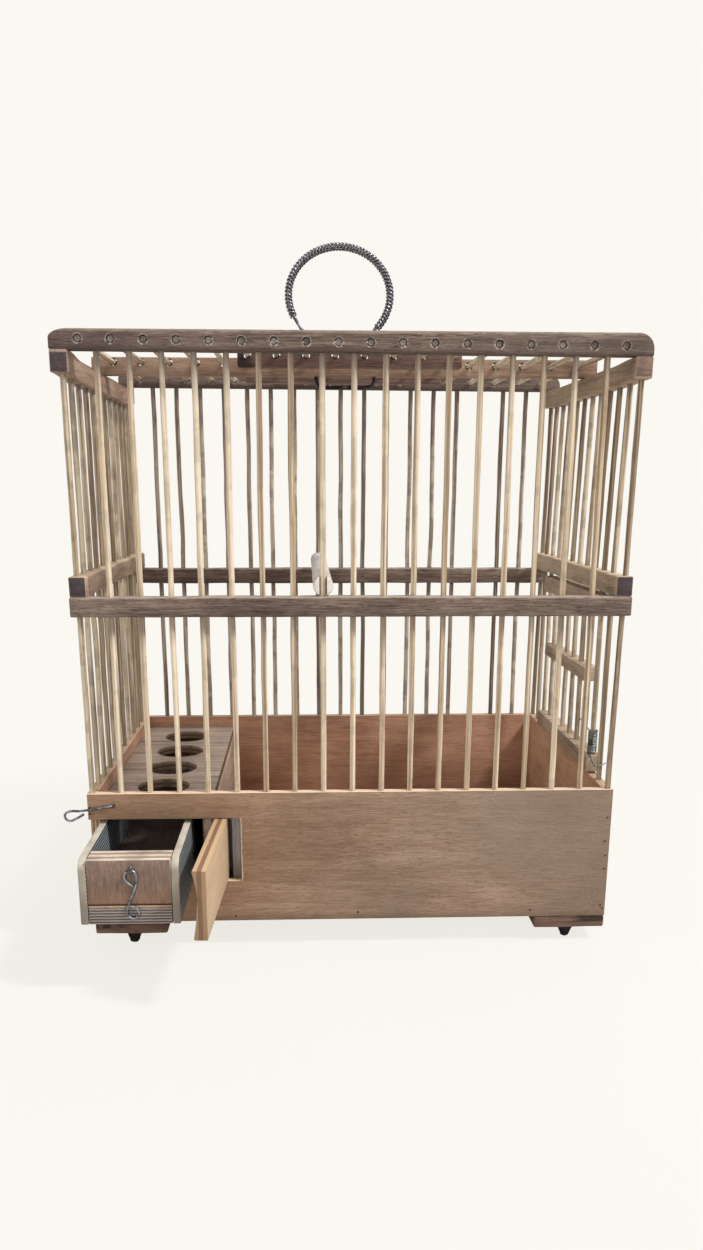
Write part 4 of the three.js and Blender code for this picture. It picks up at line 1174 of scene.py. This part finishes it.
def board_stain(graph, place, normal, colour):
    z = graph.split(place)[2]
    soil_and_shade = graph.noise(place, 48.0, detail=4.0, roughness=0.6, move=2.0).rise(0.4, 0.7)
    colour = graph.mix(soil_and_shade * 0.5, colour, paint(100, 80, 70))
    warm = z.reach(front_low[2] + 13, front_low[2] + 2) * 0.45
    colour = graph.mix(warm, colour, paint(148, 112, 88))
    ragged = graph.noise(place, 300.0, detail=2.0, move=3.0) - 0.5
    rim = (z + ragged * (1.4 * MM)).reach(front_low[2] + 1.1, front_low[2] + 0.5)
    return graph.mix(rim * 0.85, colour, paint(66, 44, 34))


def bottom_stain_and_shade(graph, place, normal, colour):
    z = graph.split(place)[2]
    end = graph.split(normal)[1].size().rise(0.6, 0.85)
    ragged = graph.noise(place, (220.0, 220.0, 500.0), detail=2.0, move=3.0) - 0.5
    fibre = (z + ragged * (1.6 * MM)).reach(bottom_high[2] - 1.7, bottom_high[2] - 1.0)
    colour = graph.mix(fibre * end * 0.75, colour, paint(176, 142, 112))
    # the top face inside the drawer is painted dark: painted shade, with seed dust on it
    inside = graph.split(normal)[2].rise(0.6, 0.9) * z.reach(bottom_high[2] - 0.6, bottom_high[2])
    seed_dust = graph.noise(place, 26.0, detail=2.0, move=5.0).rise(0.5, 0.8) * 0.35
    return graph.mix(inside * 0.85, colour, graph.mix(seed_dust, paint(58, 44, 40), paint(112, 96, 84)))


bottom_low, bottom_high = span("drawer_bottom")
BOARD_TONES = (paint(100, 79, 67), paint(126, 102, 88), paint(150, 126, 112))
ribbed = surface("ribbed_side", ribbed_build, roughness=0.7)
drawer_front_wood = timber("drawer_front_wood", BOARD_TONES, Z, stain=board_stain, fine=1300.0, long=120.0,
                           band=0.5, blotch=1.3, pores=0.5, dash=1.4,
                           sheet=(Y, front_low[1], front_high[1], 5,
                                  (paint(226, 208, 190), paint(170, 148, 128))))
drawer_bottom_wood = timber("drawer_bottom_wood", FEEDER_TONES, Y, stain=bottom_stain_and_shade,
                            sheet=(Z, bottom_low[2], bottom_high[2], 13,
                                   (paint(150, 138, 131), paint(84, 74, 72))))

# %% The drawer's boards
DRAWER_ROUND = 7
side_shape = [(drawer_low[1], drawer_low[2]), (drawer_high[1], drawer_low[2]),
              (drawer_high[1], drawer_high[2]),
              *arc(drawer_low[1] + DRAWER_ROUND, drawer_high[2] - DRAWER_ROUND, DRAWER_ROUND, 90, 180, 10)]
for side in ("left", "right"):
    low, high = span(f"drawer_side_{side}")
    finish(f"drawer_{side}", plate(f"drawer_{side}", side_shape, "y", low[0], high[0] - low[0], ease=0.5),
           ribbed, f"drawer_side_{side}")
boxed("drawer_base", "drawer_bottom", drawer_bottom_wood, ease=0.4, wander=0.1)
boxed("drawer_face", "drawer_front", drawer_front_wood, ease=0.4, wander=0.15, cuts=8)
boxed("drawer_tail", "drawer_back", drawer_front_wood, ease=0.4)

# %% [markdown]
# The pull is one wire bent into an S with an eye at each end, hanging in a small wire eye in the drawer's
# front.

# %% The eye and the pull
EYE_X, EYE_Z, EYE_RADIUS = -128.0, 59.5, 2.6
EYE_WIRE, PULL_WIRE = 0.45, 0.7  # radii
bow = [(EYE_X, DRAWER_FRONT + a, EYE_Z + b) for a, b in arc(0, 0, EYE_RADIUS, 90, 270, 8)]
eye_points = [(EYE_X, DRAWER_FRONT + 8, EYE_Z + EYE_RADIUS), *bow,
              (EYE_X, DRAWER_FRONT + 8, EYE_Z - EYE_RADIUS)]
bent("pull_eye", eye_points, EYE_WIRE, wire_steel, "drawer_eye")
PULL_Y, PULL_Z = DRAWER_FRONT - 1.15, EYE_Z - 0.7
PULL = [(0, -9.6), (-3.4, -5.9), (-4.2, -2.6), (-2.6, -0.6), (0, 0), (2.3, -1.9), (2.7, -5.6), (1.7, -9.8),
        (-1.7, -18.8), (-3.6, -24.2), (-3, -27.6), (-0.2, -29), (2.6, -27.4), (2.9, -24.6), (1.6, -22.6),
        (-0.8, -21.6)]
bent("pull", [(EYE_X + a, PULL_Y, PULL_Z + b) for a, b in PULL], PULL_WIRE, wire_steel, "drawer_pull")

# %% [markdown]
# ## The flap
#
# A piece of three-layer plywood that turns on two pins. Its free end has a hollow for a finger, cut with a
# round gouge: the plate takes a Boolean with a wide cylinder. It is drawn shut and turned open, with its
# place applied.

# %% The flap
FLAP_OPEN, FLAP_HINGE_X = 87.0, -82.95
FLAP_REACH, FLAP_HEEL, FLAP_THICK = 91.0, 10.6, 7.8
flap_low, flap_high = span("flap")
FLAP_TALL = flap_high[2] - flap_low[2]
hinge_place = mm(FLAP_HINGE_X, -WALL_Y, flap_low[2])
swing = Matrix.Translation(hinge_place) @ Matrix.Rotation(math.radians(FLAP_OPEN), 4, "Z")


def subtract(mesh, cutter):
    """The mesh with another cut away from it."""
    made, tool = as_object("cut", mesh), as_object("tool", cutter)
    boolean = made.modifiers.new("cut", "BOOLEAN")
    boolean.operation, boolean.solver, boolean.object = "DIFFERENCE", "EXACT", tool
    result = flattened(made)
    bpy.data.objects.remove(tool)
    return result


def roller(start, end, radius, sides=48):
    """A cylinder between two points in millimetres."""
    bm = bmesh.new()
    line = mm(*end) - mm(*start)
    bmesh.ops.create_cone(bm, cap_ends=True, segments=sides, radius1=radius * MM, radius2=radius * MM,
                          depth=line.length)
    turn = Vector((0, 0, 1)).rotation_difference(line).to_matrix().to_4x4()
    bmesh.ops.transform(bm, verts=bm.verts, matrix=Matrix.Translation((mm(*start) + mm(*end)) / 2) @ turn)
    return from_bmesh(bm, "roller")


sheet_of_flap = block("flap_leaf", (-FLAP_REACH, -FLAP_THICK / 2, 0), (FLAP_HEEL, FLAP_THICK / 2, FLAP_TALL),
                      ease=0.5, wander=0.1, cuts=1)
GOUGE, GOUGE_DEPTH, GOUGE_LONG = 70.0, 2.8, 16.0
tilt = math.atan2(GOUGE_DEPTH, GOUGE_LONG)


def gouge_middle(past):
    """The middle of the gouge when its lowest line is so far from the flap's free end."""
    return (past - FLAP_REACH - GOUGE * math.sin(tilt),
            FLAP_THICK / 2 - GOUGE_DEPTH + past * math.tan(tilt) + GOUGE * math.cos(tilt), FLAP_TALL / 2)


gouge = roller(gouge_middle(-4), gouge_middle(GOUGE_LONG + 4), GOUGE, 192)
flap_mesh = subtract(sheet_of_flap, gouge)
flap_mesh.transform(swing)


def flap_build(graph, place, normal):
    turn = {"Rotation": (0, 0, math.radians(FLAP_OPEN))}
    turned = graph.node("ShaderNodeMapping", {"Vector": place, "Location": tuple(hinge_place), **turn},
                        vector_type="TEXTURE")
    facing = graph.node("ShaderNodeMapping", {"Vector": normal, **turn}, vector_type="TEXTURE")
    tones = (paint(170, 142, 112), paint(190, 164, 134), paint(208, 184, 156))
    colour, height = grain(graph, turned, tones, X, streak=0.6, band=0.5, blotch=0.6, pores=0.2)
    half = FLAP_THICK / 2
    edge, layered = veneers(graph, turned, facing, Y, -half, half, 3,
                            (paint(200, 168, 130), paint(136, 104, 80)))
    colour = graph.mix(edge, colour, layered)
    y = graph.split(turned)[1]
    end = graph.split(facing)[0].rise(-0.6, -0.85)
    colour = graph.mix(end * 0.65, colour, paint(112, 82, 62))
    scooped = graph.split(facing)[1].rise(0.3, 0.6) * y.reach(half - 0.12, half - 0.3)
    colour = graph.mix(scooped, colour, paint(184, 160, 132))
    scuff = graph.noise(turned, 26.0, detail=3.0, move=6.0).rise(0.5, 0.75)
    return graph.mix(scuff * 0.25, colour, paint(176, 144, 108)), height, None


finish("flap_leaf", flap_mesh, surface("flap_plywood", flap_build, roughness=0.65), "flap")
for end in ("bottom", "top"):
    low, high = span(f"flap_pin_{end}")
    middle = [(low[i] + high[i]) / 2 for i in (0, 1)]
    finish(f"pin_{end}", roller((*middle, low[2]), (*middle, high[2]), 0.8, 16), wire_steel,
           f"flap_pin_{end}")

# %% [markdown]
# ## Latch
#
# One wire: its end turns in the strip over the hatch, and its loop hangs over the flap when that is shut.

# %% The latch wire
LATCH_Y, LATCH_WIRE = -BASE_Y - 1.1, 0.75
LATCH_ARM = [(-2.2, -0.2), (-9, -1.2), (-19, -2.8), (-26.6, -3.2), (-28.9, -4.8), (-29, -7.2), (-26.4, -9.1),
             (-22, -7.6), (-17.4, -4.9)]
latch_points = [(LATCH_X, -BASE_Y + 4.5, LATCH_Z), (LATCH_X, -BASE_Y + 1.5, LATCH_Z),
                (LATCH_X, -BASE_Y, LATCH_Z), (LATCH_X - 0.5, LATCH_Y, LATCH_Z)]
latch_points += [(LATCH_X + a, LATCH_Y, LATCH_Z + b) for a, b in LATCH_ARM]
bent("latch", latch_points, LATCH_WIRE, wire_steel, "latch_wire")

# %% [markdown]
# ## The side door
#
# Two bored rails turn on one of the wall's sticks, with six sticks and a middle rail between them. Their
# free ends are cut back by half, to lap the stick that stops the door. A spring wound round the hinge stick
# pushes it shut.

# %% The side door
DOOR_RAILS = {"top": span("door_top_rail"), "bottom": span("door_bottom_rail")}
DOOR_MIDDLE, DOOR_PAST = (143.0, 152.0), 7.4  # its levels and how far it passes the last sticks
DOOR_STICK_IN = 7  # how deep the rails seat the sticks
lap_x, lap_y = WALL_X - STICK - LOOSE, SIDE_Y[9] - STICK - 2 * LOOSE
bore = arc(WALL_X, SIDE_Y[2], STICK + LOOSE, 360, 0, 24)[:-1]
for name, (low, high) in DOOR_RAILS.items():
    profile = [(low[0], low[1]), (high[0], low[1]), (high[0], lap_y), (lap_x, lap_y), (lap_x, high[1]),
               (low[0], high[1])]
    finish(f"door_rail_{name}", plate(f"door_rail_{name}", profile, "flat", low[2], high[2] - low[2], [bore],
                                      ease=0.5),
           door_wood, f"door_{name}_rail")
door_low, door_high = DOOR_RAILS["bottom"][1][2] - DOOR_STICK_IN, DOOR_RAILS["top"][0][2] + DOOR_STICK_IN
sticks("door_sticks", uprights([(WALL_X, y) for y in SIDE_Y[3:9]], door_low, door_high), side_stick_wood,
       "door_grille", seed=61, sway=0.6)
bar = block("door_rail_middle", (WALL_X - HALF_RAIL, SIDE_Y[3] - DOOR_PAST, DOOR_MIDDLE[0]),
            (WALL_X + HALF_RAIL, SIDE_Y[8] + DOOR_PAST, DOOR_MIDDLE[1]), ease=0.7, wander=0.3)
finish("door_rail_middle", bar, door_wood, "door_grille")

# %% The door's spring
SPRING_TURNS, SPRING_STEPS, SPRING_WIRE = 14, 10, 0.5
SPRING_RADIUS = STICK + 0.9
spring_low, spring_tall = 97.3, 15.5
front_y, hinge_y, first_y = SIDE_Y[1], SIDE_Y[2], SIDE_Y[3]
clear = STICK + 1.21
hook = [(clear, front_y - 2.5, -1.4), (-0.4, front_y - clear - 0.9, -2.6),
        (-clear - 0.6, front_y - 1.2, -3.6),
        (-clear - 0.5, front_y + 5, -2.8), (-clear - 0.1, front_y + 12.5, -0.7)]
turns = []
for i in range(SPRING_TURNS * SPRING_STEPS + 1):
    angle = math.pi - 2 * math.pi * i / SPRING_STEPS
    turns.append((SPRING_RADIUS * math.cos(angle), hinge_y + SPRING_RADIUS * math.sin(angle),
                  spring_tall * i / (SPRING_TURNS * SPRING_STEPS)))
tail = [(-SPRING_RADIUS - 0.6, hinge_y + 6, spring_tall + 1),
        (-clear - 0.3, (hinge_y + first_y) / 2 + 4, spring_tall + 2),
        (-clear - 0.2, first_y + 2.5, spring_tall + 2.6)]
spring_points = [(WALL_X + a, b, spring_low + c) for a, b, c in (*hook, *turns, *tail)]
bent("spring", spring_points, SPRING_WIRE, spring_steel, "door_spring", sides=2, steps=3)
print("door done")

# %% [markdown]
# ## The carrying ring
#
# A single wire passes down through the roof's middle rail at both ends and is bent over under it. The grip
# is three thinner strands that are wound side by side round the ring, 20 turns each, so their lay is steep.

# %% The ring and its grip
RING_X, RING_Z, RING_WIDE, RING_TALL = -4.9, 389.0, 33.2, 29.3
RING_WIRE = 1.1
wire_low = ROOF_LOW - 6.6


def ring_point(degrees):
    turn = math.radians(degrees)
    return RING_X + RING_WIDE * math.cos(turn), 0.0, RING_Z + RING_TALL * math.sin(turn)


def ring_leg(x, inward):
    middle = -1.0
    return [(middle - inward * 1.5, 0, wire_low), (x + inward * 5.4, 0, wire_low),
            (x + inward * 1.4, 0, wire_low + 1.2),
            (x, 0, wire_low + 3.4), (x, 0, ROOF_LOW + 3), (x, 0, ROOF_LOW + 12.5)]


ring = [ring_point(214 - 10 * i) for i in range(27)]
ring_points = [*ring_leg(-20, 1), *ring, *ring_leg(18, -1)[::-1]]
bent("ring", ring_points, RING_WIRE, ring_steel, "handle_wire", steps=8)

GRIP_FROM, GRIP_TO, STRANDS, GRIP_TURNS = 206.0, -42.0, 3, 20
GRIP_PARTS = 120
path = bpy.data.meshes.new("grip_path")
grip_turns = [GRIP_FROM + (GRIP_TO - GRIP_FROM) * i / GRIP_PARTS for i in range(GRIP_PARTS + 1)]
path_points = [Vector(ring_point(turn)) * MM for turn in grip_turns]
firsts = [k * (GRIP_PARTS + 1) for k in range(STRANDS)]
path_edges = [(first + i, first + i + 1) for first in firsts for i in range(GRIP_PARTS)]
path.from_pydata(path_points * STRANDS, path_edges, [])
grip_mesh = grow("grip", path, winding_tree, grip_steel, turns=GRIP_TURNS, steps=24, coil_radius=1.94 * MM,
                 wire_radius=0.67 * MM)
finish("grip", grip_mesh, None, "handle_grip", smooth=80)

# %% [markdown]
# ## The perch
#
# A grey rod whose ends are slotted, so that they straddle a front and a back stick. The near end is worn
# oblique, and its prongs are pale where they were cut.

# %% The perch
PERCH_X, PERCH_Z, PERCH_RADIUS = -18.0, 211.6, 6.0
perch_low, perch_high = span("perch")
rod = roller((PERCH_X, perch_low[1], PERCH_Z), (PERCH_X, perch_high[1], PERCH_Z), PERCH_RADIUS, 40)
bm = bmesh.new()
bm.from_mesh(rod)
rim = [e for e in bm.edges if e.is_manifold and abs(e.calc_face_angle()) > 1.0]
bmesh.ops.bevel(bm, geom=rim, offset=1.2 * MM, segments=4, profile=0.5, affect="EDGES")
rod = from_bmesh(bm, "perch_rod")
for sign in (-1, 1):
    ends = sorted((sign * (WALL_Y + 5), sign * (WALL_Y - 2.5)))
    half = STICK + LOOSE
    slot_low, slot_high = (PERCH_X - half, ends[0], PERCH_Z - 8), (PERCH_X + half, ends[1], PERCH_Z + 8)
    rod = subtract(rod, block("slot", slot_low, slot_high, ease=0.3, wander=0, cuts=1))
finish("perch_rod", rod, perch_grey, "perch")

# %% [markdown]
# ## Feet, nails and the pin
#
# Under each corner lies a rough wooden block on a crumbling black rubber tip. The tips are cones that noise
# has roughened. The nails are the tree's small discs, at the places where they show.

# %% Feet
FOOT_TONES = (paint(80, 59, 49), paint(110, 84, 72), paint(136, 109, 97))


def foot_stain(graph, place, normal, colour):
    x, _, z = graph.split(place)
    near_end = x.size().reach(BASE_X - 26, BASE_X - 12)
    patches = graph.noise(place, (70.0, 70.0, 20.0), detail=2.0).rise(0.42, 0.55)
    gap = z.reach(-6.6, -5.8) * patches * near_end
    side = graph.split(normal)[2].size().rise(0.7, 0.4)
    return graph.mix(gap * side * 0.85, colour, paint(34, 24, 22))


foot_wood = timber("foot_wood", FOOT_TONES, X, stain=foot_stain, fine=600.0)
TIP_SIDES = 18
TIP_LEVELS = [(0.0, 6.0), (1.2, 5.9), (3.0, 4.6), (5.0, 4.2), (6.6, 3.1), (8.2, 2.9),
              (9.0, 2.4)]  # depth, radius
for place in ("front_left", "front_right", "back_left", "back_right"):
    boxed(f"block_{place}", f"foot_{place}", foot_wood, ease=1.2, wander=0.5, cuts=10)
    low, high = span(f"foot_tip_{place}")
    centre = [(low[i] + high[i]) / 2 for i in (0, 1)]
    bm = bmesh.new()
    rings = []
    for depth, radius in TIP_LEVELS:
        circle = []
        for k in range(TIP_SIDES):
            turn = 2 * math.pi * k / TIP_SIDES
            rough = noise.noise(Vector((math.cos(turn) * 2, math.sin(turn) * 2,
                                        depth + low[0]))) if depth else 0.0
            reach = radius * (1 + 0.22 * rough)
            tip_x, tip_y = centre[0] + reach * math.cos(turn), centre[1] + reach * math.sin(turn)
            circle.append(bm.verts.new(mm(tip_x, tip_y, high[2] - depth)))
        rings.append(circle)
    for upper, lower in zip(rings, rings[1:]):
        for k in range(TIP_SIDES):
            after = (k + 1) % TIP_SIDES
            bm.faces.new((upper[k], upper[after], lower[after], lower[k]))
    bm.faces.new(rings[0][::-1])
    bm.faces.new(rings[-1])
    finish(f"tip_{place}", from_bmesh(bm, f"tip_{place}"), rubber, f"foot_tip_{place}", smooth=60)

# %% Nails and the pin
nail_steel = steel("nail_steel", paint(40, 34, 32), paint(92, 82, 76), roughness=0.5)
FRONT_NAILS = [(162.5, 65.4), (161.9, 49.5), (162.6, 39.7), (162.6, 30.7), (161.8, 5.3), (163.2, 3.2),
               (-74.9, 1.2),
               (3.8, 2.8), (115.9, 2.5), (-163.6, 75.3), (-163.8, 71.2), (-161.8, 20.0), (-162.4, 9.0)]
BACK_NAILS = [(s * 162.2, z) for s in (-1, 1) for z in (8, 30, 52, 72)]
BACK_NAILS += [(x, 2.6) for x in (-96, -20, 60, 118)]
SIDE_NAILS = [(y, 2.6) for y in (-84, -28, 30, 82)]
nail_points = {
    "nails_front": ([(x, -BASE_Y, z) for x, z in FRONT_NAILS], (math.pi / 2, 0, 0)),
    "nails_back": ([(x, BASE_Y, z) for x, z in BACK_NAILS], (math.pi / 2, 0, 0)),
    "nails_left": ([(-BASE_X, y, z) for y, z in SIDE_NAILS], (0, math.pi / 2, 0)),
    "nails_right": ([(BASE_X, y, z) for y, z in SIDE_NAILS], (0, math.pi / 2, 0)),
}
for name, (points, facing) in nail_points.items():
    mesh = grow(name, dots(name, points), nail_tree, nail_steel, facing=Vector(facing))
    finish(name, mesh, None, "front_panel", body="cage")
PIN_X, PIN_Z, PIN_RADIUS = 14.4, 37.8, 0.7
pin_mesh = roller((PIN_X, -BASE_Y - 0.9, PIN_Z), (PIN_X, -BASE_Y + 1, PIN_Z), PIN_RADIUS, 12)
pin = finish("front_pin", pin_mesh, spring_steel, "front_panel", body="cage")

# %% [markdown]
# ## Floor, world and lamps
#
# A pale floor catches a soft shadow. Its cream is given to camera rays, and that of the world also to the
# rays that steel mirrors, so it adds no light. A small strong lamp stands high at the right and three wide
# weak ones stand round the cage, at a level where a colour renders about as it is written.

# %% Floor, world and lamps
CREAM = paint(251, 248, 242)
FLOOR_TONE = 0.76  # brings the lit floor to the cream of the world behind it
FLOOR_Z = span("foot_tip_front_left")[0][2]
bm = bmesh.new()
bmesh.ops.create_grid(bm, x_segments=1, y_segments=1, size=20.0)
bmesh.ops.translate(bm, verts=bm.verts, vec=(0, 0, FLOOR_Z * MM))
floor_mesh = bpy.data.meshes.new("floor")
bm.to_mesh(floor_mesh)
bm.free()
stage_floor = as_object("floor", floor_mesh)

floor_material = bpy.data.materials.new("floor")
floor_material.use_nodes = True
graph = Graph(floor_material.node_tree)
rays = graph.node("ShaderNodeLightPath", out="Is Camera Ray")
floor_x, floor_y, _ = graph.split(graph.node("ShaderNodeTexCoord", out="Object"))
far = ((floor_x * floor_x + floor_y * floor_y) ** 0.5).rise(0.25, 0.55)
diffuse = graph.node("ShaderNodeBsdfDiffuse", {"Color": (*shade(CREAM, FLOOR_TONE), 1.0)})
glow = graph.node("ShaderNodeEmission", {"Color": (*CREAM, 1.0), "Strength": 1.0})
share = rays * (0.84 + far * 0.16)
mixed = graph.node("ShaderNodeMixShader", {0: share, 1: diffuse, 2: glow})
output = next(n for n in graph.tree.nodes if n.type == "OUTPUT_MATERIAL")
graph.tree.links.new(mixed.socket, output.inputs["Surface"])
floor_mesh.materials.append(floor_material)

world = bpy.data.worlds.new("studio")
world.use_nodes = True
bpy.context.scene.world = world
graph = Graph(world.node_tree)
rays = graph.node("ShaderNodeLightPath", out="Is Camera Ray")
mirrored = Value(graph, rays.socket.node.outputs["Is Glossy Ray"])
WORLD_LIGHT = 0.5
strength = (1.0 - rays) * WORLD_LIGHT + rays
colour = graph.mix(rays.most(mirrored), (1.0, 1.0, 1.0), CREAM)
background = next(n for n in graph.tree.nodes if n.type == "BACKGROUND")
graph.tree.links.new(colour.socket, background.inputs["Color"])
graph.tree.links.new(strength.socket, background.inputs["Strength"])

LAMPS = {  # place, size in metres, watts
    "lamp_right": ((2.04, -1.0, 2.8), 0.4, 112.0),
    "lamp_front": ((-1.0, -3.3, 1.2), 1.6, 24.0),
    "lamp_back": ((1.3, 3.2, 1.5), 1.6, 36.0),
    "lamp_left": ((-3.3, -0.4, 1.3), 1.6, 22.0),
}
for name, (place, size, power) in LAMPS.items():
    lamp = bpy.data.lights.new(name, "AREA")
    lamp.size, lamp.energy = size, power
    holder = as_object(name, lamp)
    holder.location = place
    holder.rotation_euler = (Vector((0, 0, 0.17)) - Vector(place)).to_track_quat("-Z", "Y").to_euler()
bpy.context.scene.view_settings.view_transform = "Standard"
